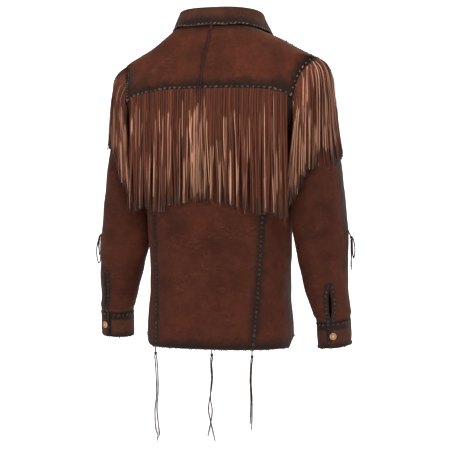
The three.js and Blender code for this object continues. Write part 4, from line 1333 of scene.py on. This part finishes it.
class SHIRT_OT_cuffs(Piece):
    """Make the cuffs"""

    bl_idname = "shirt.cuffs"
    bl_label = "Cuffs"

    def make(self, sizes):
        for name, side in SIDES.items():
            v, t = np.meshgrid(np.linspace(0.006, 0.998, 30), np.linspace(0, CUFF_TURN, 190),
                               indexing="ij")
            plain = mirrored(cuff_at(t, v, name), side)
            inside = mirrored(sleeve_axis(CUFF_ROW + v), side)
            names = [f"{part}_{name}" for part in ("band", "cuff", "lap")]
            puffed = 1.1 * np.sin(math.pi * v) + 0.5 * waves(plain, 9, 40)
            puffed = puffed * (1 - 0.8 * smooth(300, 350, t))
            made = cloth(f"cuff_{name}", plain, inside, MATERIALS["collar"],
                         {"wear_shade_mask": wear_and_shade(plain, names)}, lift=puffed)
            finish_piece(made, f"cuff_{name}")


class SHIRT_OT_collar(Piece):
    """Make the turned-down collar"""

    bl_idname = "shirt.collar"
    bl_label = "Collar"

    def make(self, sizes):
        k, v = np.meshgrid(np.linspace(-8, 8, 281), np.linspace(0, 1, 61), indexing="ij")
        plain = collar_at(k, v)
        middle, stand = 1 - smooth(1.2, 2.2, np.abs(k)), 1 - smooth(0.0, 0.14, v)
        plain[..., 2] -= COLLAR_DIP * middle * smooth(0.75, 1.0, v) + 9.0 * stand
        plain[..., :2] *= 1 - 0.045 * stand[..., None]
        inside = plain * 0.9
        n = unit(np.cross(np.gradient(plain, axis=1), np.gradient(plain, axis=0)))
        outward = 1.0 if n[140, 50, 1] > 0 else -1.0
        swell = (0.5 * waves(plain, 5, 90) + 0.3 * waves(plain, 6, 40)) * smooth(0.66, 0.8, v)
        points = plain + n * outward * swell[..., None]
        flip = np.sign(((points - inside) * n).sum(-1).mean())
        made = cloth("collar", points, inside, MATERIALS["collar"],
                     {"wear_shade_mask": wear_and_shade(plain, ["fall", "fold"])}, turned=outward * flip)
        finish_piece(made, "collar")


class SHIRT_OT_fringe(Piece):
    """Make the long fringe of the yoke and the fringes of the sleeves"""

    bl_idname = "shirt.fringe"
    bl_label = "Fringe"

    def make(self, sizes):
        self.back(sizes)
        for name, side in SIDES.items():
            self.sleeve(sizes, name, side)

    def back(self, sizes):
        draw = np.random.default_rng(sizes.seed)
        ends = np.linspace(-0.925, 0.895, 600)
        at, across, layer = self.places(back_at(YOKE_ROW, ends), ends, sizes, draw)
        root, step = back_at(BACK_ROOT, across), 0.002
        tangent = unit(back_at(BACK_ROOT, across + step) - back_at(BACK_ROOT, across - step))
        out = unit(np.cross(tangent, [0, 0, -1.0]))
        out = out * np.sign(out[:, 1:2])
        t = np.linspace(0, 1, 22) ** 0.9
        tip = np.interp(root[:, 0], *BACK_TIPS) + draw.normal(0, 4.5, len(at)) - 3 * (layer > 2)
        drop = root[:, 2] - tip
        z = root[:, 2:] - drop[:, None] * t
        clump = gathered(root[:, 0], draw, 15, 0.85)[:, None] * smooth(0.15, 1.1, t)
        x = root[:, :1] * (1 + 0.012 * t) + clump + wander(draw, len(at), t, 2.4)
        half = np.maximum(read(TRUNK_HALF, "half", z), 1)
        share = np.clip(np.abs(x) / half, 0, 1)
        rest = read(DEPTH, "back", z) * (1 - share**SQUARE) ** (1 / SQUARE)
        fall = root[:, 1:2] - 2 * t
        rest = rest + relief(stack(x, rest, z))
        clear = 2.6 + layer[:, None] * np.minimum(t * 8 + 0.4, 1)
        y = np.maximum(rest, fall) + clear * out[:, 1:2]
        y = y + np.abs(wander(draw, len(at), t, 1.3))
        path = stack(x, y, z)
        path[:, 0] = root + out * (3.0 + layer[:, None] * 0.3)
        self.strands("fringe_back", path, tangent[:, None], out[:, None], t, draw, sizes,
                     root[:, 0], drop, layer, BACK_LOOK)

    def sleeve(self, sizes, name, side):
        draw = np.random.default_rng(sizes.seed + (3 if side > 0 else 5))
        fine = np.linspace(-46, 109, 500)
        at, angle, layer = self.places(sleeve_at(SLEEVE_ROOT, fine), fine, sizes, draw)
        root, step = sleeve_at(SLEEVE_ROOT, angle), 0.6
        tangent = unit(sleeve_at(SLEEVE_ROOT, angle + step) - sleeve_at(SLEEVE_ROOT, angle - step))
        over = unit(sleeve_at(0.5, angle) - root)
        long = np.interp(angle, *SLEEVE_LONG[name]) + draw.normal(0, 5, len(at))
        clump = gathered(at, draw, 16, 0.5)
        drift = tangent * clump[:, None] - [13, 0, 0] * smooth(50, 100, angle)[:, None]
        puff = 5.0 * np.exp(-((angle / 34) ** 2)) if side > 0 else 0
        path, out = self.hung(root, over, long, 2.2 + layer, puff, drift, side)
        t = np.linspace(0, 1, path.shape[1])
        path = path + tangent[:, None] * wander(draw, len(at), t, 2.2)[..., None]
        path = path + out * np.abs(wander(draw, len(at), t, 1.4))[..., None]
        side_way = unit(np.cross(np.gradient(path, axis=1), out))
        path, side_way, out = (mirrored(v, side) for v in (path, side_way, out))
        self.strands(f"fringe_sleeve_{name}", path, side_way, out, t, draw, sizes, angle, long,
                     layer, SLEEVE_LOOK)

    def places(self, line, ends, sizes, draw):
        """Where each strand starts along a line, in millimetres and by ends, and its layer."""
        run = np.concatenate([[0], np.cumsum(np.linalg.norm(np.diff(line, axis=0), axis=1))])
        long = run[-1]
        place, layer, count = [], [], int(long / (sizes.strand_pitch / MM))
        for height, share, odd in LAYERS:
            n = int(count * share)
            at = (np.arange(n) + 0.5 + odd) / n * long + draw.uniform(-0.9, 0.9, n)
            place.append(np.clip(at, 1.5, long - 1.5))
            layer.append(np.full(n, height))
        at = np.concatenate(place)
        return at, np.interp(at, run, ends), np.concatenate(layer)

    def hung(self, root, over, long, clear, puff, drift, side):
        """Strands that lie on the sleeve and hang straight where it falls away below them."""
        r, a = np.meshgrid(np.linspace(0.02, 7.5, 230), np.linspace(-180, 180, 190), indexing="ij")
        plain = mirrored(sleeve_at(r, a), side)
        axis = mirrored(sleeve_axis(np.maximum(r, 0.6)), side)
        skin = mirrored(settle(plain, axis, SLEEVE_RELIEF), side).reshape(-1, 3)
        n = mirrored(normals_of(plain, axis)[0], side).reshape(-1, 3)
        tree = tree_of(skin)
        rings = 30
        step = (long / (rings - 1))[:, None]
        down = np.array([0, 0, -1.0])
        p, way = root + over * 0.5, unit(over * 0.8 + down)
        path, out = [], []
        for k in range(rings):
            near = np.array([tree.find(q)[1] for q in p])
            gap = ((p - skin[near]) * n[near]).sum(-1)
            reach = clear * min(1.0, 0.45 + k * 0.12) + puff * max(0.0, 1 - k / 9)
            p = p + n[near] * np.maximum(reach - gap, 0)[:, None]
            if path:
                p = path[-1] + unit(p - path[-1]) * step
                way = unit(p - path[-1])
            path.append(p)
            out.append(n[near])
            pull = smooth(0, 6, k) * drift / rings / step
            p = p + unit(lerp(way, down, 0.5) + pull) * step
        path, out = np.stack(path, 1), np.stack(out, 1)
        out[..., 2] *= 0.3
        return path, unit(out)

    def strands(self, name, path, side, out, t, draw, sizes, at, drop, layer, look):
        """Strands along paths, each of its own width and twist.

        at, drop and layer are each strand's place along the seam, its length and its layer; t runs
        down every strand.
        """
        count = len(path)
        down = unit(np.gradient(path, axis=1))
        side = unit(side - down * (side * down).sum(-1, keepdims=True))
        flat = np.cross(side, down)
        out = unit(flat) * np.sign((flat * out).sum(-1, keepdims=True))
        twist = wander(draw, count, t, 0.55) + draw.normal(0, 0.12, (count, 1))
        c, s = np.cos(twist)[..., None], np.sin(twist)[..., None]
        side, out = side * c + out * s, out * c - side * s
        top = (layer > TOP_LAYER)[:, None]
        broad = draw.random((count, 1)) < 0.24
        wide = np.where(broad, draw.uniform(1.2, 1.75, (count, 1)),
                        draw.uniform(0.5, 1.0, (count, 1)))
        wide = sizes.strand / MM * np.where(top, wide * 0.45, wide) * (1 - 0.3 * t**4)
        marks = self.shades(at, layer, t, draw, **look)
        made = ribbons(name, path, side, out, wide, marks, MATERIALS["fringe"])
        total = float((wide[:, 0] * drop).sum()) * MM * MM
        finish_piece(made, name)

    def shades(self, at, layer, t, draw, patches, shy, painted_highlight):
        """Colour marks of strands. The pale side shows in patches, by shy less near the root. The
        tone holds painted shade on the lower layers and a painted highlight near the top of the
        shoulder.
        """
        each, top = (len(at), 1), (layer > TOP_LAYER)[:, None]
        bias = np.full((len(at), len(t)), -0.45)
        turned = draw.normal(0, 0.55, each) + 0.8 * np.sin(
            t * draw.uniform(2, 7, each) + draw.uniform(0, PHASE, each))
        for centre, reach, start, stop, amount in patches:
            near = np.exp(-(((at - centre) / reach) ** 2))[:, None]
            low = start + draw.normal(0, 0.07, each)
            bias = bias + amount * near * smooth(-0.1, 0.1, t - low) * (
                1 - smooth(stop - 0.1, stop + 0.1, t))
        bias = bias - shy * (1 - smooth(0.02, 0.3, t)) + np.where(top, 0.5, 0)
        light = smooth(0.1, 0.75, turned + bias) * draw.uniform(0.6, 1.05, each)
        # Painted shade: the lower layers darker, as if shaded by those above them, except near the
        # root.
        deep = np.interp(layer, [0, 1.3, 2.5], [0.38, 0.95, 1.12])[:, None]
        deep = lerp(np.maximum(deep, 0.95), deep, smooth(0.03, 0.4, t))
        # Painted highlight on the strands near the top of the shoulder.
        highlight_spot = np.exp(-(((at - 16) / 11) ** 2))[:, None] * smooth(0.03, 0.1, t)
        highlight_spot = highlight_spot * (1 - smooth(0.2, 0.36, t))
        deep = deep * (1 + painted_highlight * highlight_spot)
        # Each strand's own random tone, times the painted shade and highlight, a little darker at
        # the root.
        tone = deep * draw.uniform(0.72, 1.32, each) * (1 - 0.15 * (1 - smooth(0, 0.1, t)))
        tip = smooth(0.8, 0.97, t + draw.normal(0, 0.04, each)) * draw.uniform(0.45, 1.0, each)
        return {mark: np.broadcast_to(values, bias.shape)
                for mark, values in (("light", light), ("tone", tone), ("tip", tip))}


# Layers of strands: height over the cloth, share of the full count, shift. Those higher than
# TOP_LAYER are thin and pale.
LAYERS = [(0.0, 1.0, 0.0), (1.3, 1.0, 0.5), (2.5, 0.55, 0.2), (3.7, 0.3, 0.4)]
TOP_LAYER = 3
# Rows that the strands start from
BACK_ROOT, SLEEVE_ROOT = 13.97, 0.06

# Height of the strands' tips across the back
BACK_TIPS = (
    [-192, -176, -145, -110, -81, -22, 2, 30, 77, 108, 143, 168],
    [-423, -423, -415, -411, -400, -390, -385, -390, -397, -410, -397, -408],
)
# Length of the sleeve's strands by angle
SLEEVE_LONG = {
    "left": ([-46, 22, 40, 62, 109], [212, 210, 218, 232, 238]),
    "right": ([-46, -15, 10, 35, 109], [234, 236, 250, 254, 252]),
}
# Where the pale side shows: centre and reach along the seam, start and stop down the strand, amount
# shy makes the pale side show less near the root; the last entry is the strength of a painted
# highlight at the top of the shoulder.
BACK_LOOK = {
    "patches": [
        [8, 17, 0.2, 0.95, 2.3], [-28, 14, 0.45, 0.95, 1.3], [-58, 14, 0.35, 0.9, 0.7],
        [-95, 15, 0.4, 0.9, 0.6], [62, 9, 0.3, 0.8, 0.4], [118, 14, 0.6, 0.95, 0.6],
        [155, 9, 0.5, 0.95, 0.6], [-150, 12, 0.55, 0.95, 0.5],
    ],
    "shy": 1.2, "painted_highlight": 0.0,
}
SLEEVE_LOOK = {
    "patches": [
        [-6, 18, 0.05, 0.9, 0.9], [20, 12, 0.03, 0.9, 1.2], [48, 12, 0.1, 0.9, 0.6],
        [82, 14, 0.2, 0.95, 1.5], [-34, 16, 0.1, 0.9, 0.9],
    ],
    "shy": 0.5, "painted_highlight": 0.5,
}


def gathered(at, draw, spacing, amount):
    """Shift of each strand towards the middle of its clump."""
    low, high = at.min(), at.max()
    middles = np.arange(low, high + spacing, spacing)
    middles = middles + draw.uniform(-6, 6, int((high - low) / spacing) + 2)[: len(middles)]
    near = middles[np.abs(at[:, None] - middles[None]).argmin(1)]
    return (near - at) * amount * draw.uniform(0.4, 1.3, len(at))


def wander(draw, count, t, amount):
    """Slow sideways drift down each strand."""
    ways = [draw.normal(0, 1, (count, 1)) * np.sin(t * f + draw.uniform(0, PHASE, (count, 1)))
            for f in (2.1, 4.7, 8.3)]
    drift = ways[0] + 0.5 * ways[1] + 0.22 * ways[2]
    return (drift - drift[:, :1]) * amount * 0.6 * np.minimum(t * 2.5, 1)


class SHIRT_OT_stitches(Piece):
    """Make the laced seams and the whip-stitched edges"""

    bl_idname = "shirt.stitches"
    bl_label = "Stitches"

    def make(self, sizes):
        seed = sizes.seed
        yoke = on_surface(back_at, 14.1, np.linspace(-0.96, 0.96, 300), 1.9)
        stitch_rows("yoke_stitches", [yoke], "chain", seed, sizes.seam_pitch * 1.6,
                    (10.5, 4.4, 2.6), 0.1, 0.5)
        routes = {part: [] for part in ("arms", "chain", "panels", "edges", "cuffs", "plackets")}
        for name, side in SIDES.items():
            self.body_routes(routes, side)
            self.sleeve_routes(routes, name, side)
        stitch_rows("armhole_stitches", routes["arms"], "stitch", seed + 1, 15.5 * MM,
                    (8.5, 3.2, 2.6), 0.12, 0.18)
        stitch_rows("armhole_chain", routes["chain"], "stitch", seed + 7, 7.4 * MM,
                    (6.4, 2.6, 2.4), 0.7, 0.5)
        for tilt, part in ((0.7, "rising"), (-0.7, "falling")):
            stitch_rows(f"panel_stitches_{part}", routes["panels"], "stitch_dark", seed + 2,
                        10.4 * MM, (9.6, 3.2, 2.4), tilt, 0.3)
        stitch_rows("edge_stitches", routes["edges"], "stitch_dark", seed + 3, sizes.whip_pitch,
                    (6.6, 3.6, 4.4), 1.25, 0.4)
        knot = on_surface(back_at, np.linspace(2.85, 3.1, 4), 0.999, 3.0)
        stitch_rows("vent_knot", [knot], "stitch_dark", seed + 8, 5 * MM, (15, 8, 11), 0.5, 0.6)
        p, n = self.collar_edge(np.linspace(-1.55, 2.0, 120))
        p[:, 2] -= 2.2
        stitch_rows("nape_bar", [(p + n * 1.2, n)], "stitch_mid", seed + 9, 11 * MM,
                    (19, 2.4, 2.2), 0.0, 0.06)
        stitch_rows("cuff_stitches", routes["cuffs"], "stitch_mid", seed + 4, 11 * MM,
                    (10, 2.4, 2.2), 0.8, 0.4)
        stitch_rows("placket_stitches", routes["plackets"], "stitch_blue", seed + 5, 9.5 * MM,
                    (8.4, 5.4, 4.0), 0.25, 0.4)
        stitch_rows("collar_stitches", [self.collar_edge(np.linspace(-7.98, 7.98, 500))], "stitch",
                    seed + 6, 9.5 * MM, (7.6, 2.4, 3.2), 0.55, 0.3)

    def body_routes(self, routes, side):
        def front(r, u):
            return front_at(r, u, side)

        def panel(r, off):
            return back_at(r, side * (panel_share(r, side) + off))

        up, vent = np.linspace(14.2, 19.9, 160), np.linspace(0.5, 3.0, 80)
        routes["chain" if side > 0 else "arms"].append(on_surface(back_at, up, side * 0.968, 2.2))
        routes["arms"].append(on_surface(front, np.linspace(11.5, 19.9, 200), 0.975, 0.8))
        routes["panels"].append(on_surface(panel, np.linspace(0.05, 13.8, 400), 0.0, 0.6))
        flap = np.linspace(0, 0.99, 220)
        p, n = on_surface(front, 0.01, flap, -0.8)
        p[:, 2] += flap_rise(flap, side)
        routes["edges"] += [
            on_surface(back_at, np.linspace(20.1, 23.7, 90), side * 0.999, -0.2),
            on_surface(back_at, 0.01, side * np.linspace(0, 0.995, 220), -0.8),
            (p, n),
            on_surface(back_at, vent, side * 0.999, -0.8),
            on_surface(front, vent, 0.997, -0.8),
            on_surface(front, np.linspace(0.1, 23.6, 420), 0.004, -0.4),
        ]

    def sleeve_routes(self, routes, name, side):
        def cuff(t, v):
            return mirrored(cuff_at(t, v, name), side)

        def sleeve(r, a):
            return mirrored(sleeve_at(r, a), side)

        wrist, elbow = (mirrored(sleeve_axis(row), side) for row in (11.5, 10.0))
        turn = np.linspace(2, 340, 240)
        routes["edges"].append(on_surface(cuff, turn, 0.99, -0.6, wrist))
        routes["cuffs"].append(on_surface(cuff, turn, 0.1, 0.6, wrist))
        routes["plackets"] += [on_surface(cuff, 2.0, np.linspace(0.05, 0.95, 40), 0.4, wrist),
                               on_surface(sleeve, *slit_route(name), 2.0, elbow)]

    def collar_edge(self, steps):
        p = collar_at(steps, 0.985)
        before = collar_at(steps, 0.9)
        p[:, 2] -= COLLAR_DIP * (1 - smooth(1.2, 2.2, np.abs(steps)))
        along = unit(np.gradient(p, axis=0))
        n = unit(np.cross(along, p - before))
        n = n * np.sign((n * p * [1, 1, 0]).sum(-1))[..., None]
        return p - n * 0.8, n


# Heights of the front's buttons
FRONT_BUTTONS = (-215, -311, -407, -503, -599, -695)
# Profile of a button: share of the radius, height
BUTTON_RINGS = [
    (0.0, 0.0), (0.7, 0.0), (0.92, 0.1), (1.0, 0.7), (1.0, 1.3), (0.97, 2.0), (0.9, 2.7),
    (0.82, 2.95), (0.74, 2.7), (0.7, 2.3), (0.62, 2.25), (0.54, 2.6), (0.42, 2.95),
    (0.28, 3.15), (0.14, 3.22), (0.0, 3.24),
]


class SHIRT_OT_buttons(Piece):
    """Make the domed buttons"""

    bl_idname = "shirt.buttons"
    bl_label = "Buttons"

    def make(self, sizes):
        for k, z in enumerate(FRONT_BUTTONS):
            y, above, below = (-float(read(DEPTH, "front", z + d)) for d in (0, 9, -9))
            self.button(f"front_button_{k + 1}", [0, y, z], [0, -18, above - below], sizes)
        for name, side in SIDES.items():
            turn, low = np.array([CUFF_BUTTON_TURN]), np.array([0.55])
            at = cuff_at(turn, low, name)[0]
            u = cuff_at(turn + 1, low, name)[0] - cuff_at(turn - 1, low, name)[0]
            v = cuff_at(turn, low + 0.01, name)[0] - cuff_at(turn, low - 0.01, name)[0]
            n = np.cross(u, v)
            n = n * np.sign(n @ (at - sleeve_axis(np.array([11.5]))[0]))
            self.button(f"cuff_button_{name}", mirrored(at, side), mirrored(n, side), sizes)

    def button(self, name, at, out, sizes):
        """A rim, a hollow ring and a fluted dome, 0.6 mm clear of the cloth."""
        radius, sides = sizes.button / MM / 2, 40
        up = unit(np.array(out, float))
        across = unit(np.cross(up, [0.1, 0.2, 0.97]))
        other = np.cross(up, across)
        points, faces, hollow = [], [], []
        for share, height in BUTTON_RINGS:
            for k in range(sides if share else 1):
                turn = 2 * math.pi * k / sides
                flute = 0.16 * math.cos(9 * turn) if 0.2 < share < 0.6 else 0.0
                points.append(np.array(at) + up * (height + 0.6 + flute) + radius * share * (
                    math.cos(turn) * across + math.sin(turn) * other))
                hollow.append(1.0 if 0.58 < share < 0.8 else 0.45 - 3.4 * flute if flute else 0.0)
        start = [0, *[1 + sides * k for k in range(len(BUTTON_RINGS) - 1)]]
        for k in range(sides):
            m = (k + 1) % sides
            faces.append([0, 1 + m, 1 + k])
            for a, b in zip(start[1:-2], start[2:-1]):
                faces.append([a + k, a + m, b + m, b + k])
            faces.append([start[-2] + k, start[-2] + m, start[-1]])
        made = ragged_mesh(name, points, faces, MATERIALS["brass"], {"hollow": hollow})
        finish_piece(made, name)


# Soft lights: name, place, size and power
LIGHTS = [
    ("key", (-2.2, 2.6, 2.2), 1.8, 74), ("fill", (3.0, 2.6, 0.4), 2.6, 18),
    ("top", (0.2, 0.6, 3.2), 2.4, 34), ("front", (0.0, -2.2, 2.0), 2.6, 22),
]


class SHIRT_OT_stage(Piece):
    """Make the pale floor, its sweep and the soft lights"""

    bl_idname = "shirt.stage"
    bl_label = "Stage"

    def make(self, sizes):
        low = SOLIDS[0][2] / MM - 25
        turn = np.linspace(0, math.pi / 2, 24)
        y = np.concatenate([[9000, 2000, 0], -1600 - 3600 * np.sin(turn), [-5200.0]])
        z = np.concatenate([[0, 0, 0], 1400 - 1400 * np.cos(turn), [9000.0]]) + low
        x = np.array([-9000, 0, 9000.0])
        points = stack(x, y[:, None], z[:, None]).reshape(-1, 3)
        faces = [[i * 3 + k, (i + 1) * 3 + k, (i + 1) * 3 + k + 1, i * 3 + k + 1]
                 for i in range(len(y) - 1) for k in range(2)]
        glow = 0.42 + 0.58 * smooth(600, 2400, -points[:, 1])
        make_mesh("floor", points, faces, MATERIALS["paper"], {"glow": glow})
        aim = Vector((0, 0, -0.38))
        for name, place, size, power in LIGHTS:
            data = bpy.data.lights.new(name, "AREA")
            data.shape, data.size, data.energy = "DISK", size, power
            light = add_object(name, data)
            light.location = place
            light.rotation_euler = (aim - Vector(place)).to_track_quat("-Z", "Y").to_euler()
        world = bpy.data.worlds.new("studio")
        world.use_nodes = True
        world.node_tree.nodes["Background"].inputs["Color"].default_value = (1, 1, 1, 1)
        world.node_tree.nodes["Background"].inputs["Strength"].default_value = 0.48
        bpy.context.scene.world = world
        bpy.context.scene.view_settings.view_transform = "Standard"


class SHIRT_PT_panel(Panel):
    """Lists the shirt's sizes, colours and pieces"""

    bl_idname = "SHIRT_PT_panel"
    bl_label = "Fringed shirt"
    bl_space_type = "VIEW_3D"
    bl_region_type = "UI"
    bl_category = "Shirt"

    def draw(self, context):
        for group in (context.scene.shirt_sizes, context.scene.shirt_colours):
            box = self.layout.box()
            for key in group.bl_rna.properties.keys():
                if key not in ("rna_type", "name"):
                    box.prop(group, key)
        for operator in STEPS:
            self.layout.operator(operator.bl_idname)


STEPS = (SHIRT_OT_camera, SHIRT_OT_laces, SHIRT_OT_back, SHIRT_OT_fronts, SHIRT_OT_sleeves,
         SHIRT_OT_cuffs, SHIRT_OT_collar, SHIRT_OT_fringe, SHIRT_OT_stitches, SHIRT_OT_buttons,
         SHIRT_OT_stage)
CLASSES = (ShirtSizes, ShirtColours, *STEPS, SHIRT_PT_panel)


def register():
    for kind in CLASSES:
        bpy.utils.register_class(kind)
    bpy.types.Scene.shirt_sizes = PointerProperty(type=ShirtSizes)
    bpy.types.Scene.shirt_colours = PointerProperty(type=ShirtColours)


def unregister():
    del bpy.types.Scene.shirt_sizes, bpy.types.Scene.shirt_colours
    for kind in reversed(CLASSES):
        bpy.utils.unregister_class(kind)


def main():
    register()
    for step in STEPS:
        group, name = step.bl_idname.split(".")
        getattr(getattr(bpy.ops, group), name)()


if __name__ == "__main__":
    main()
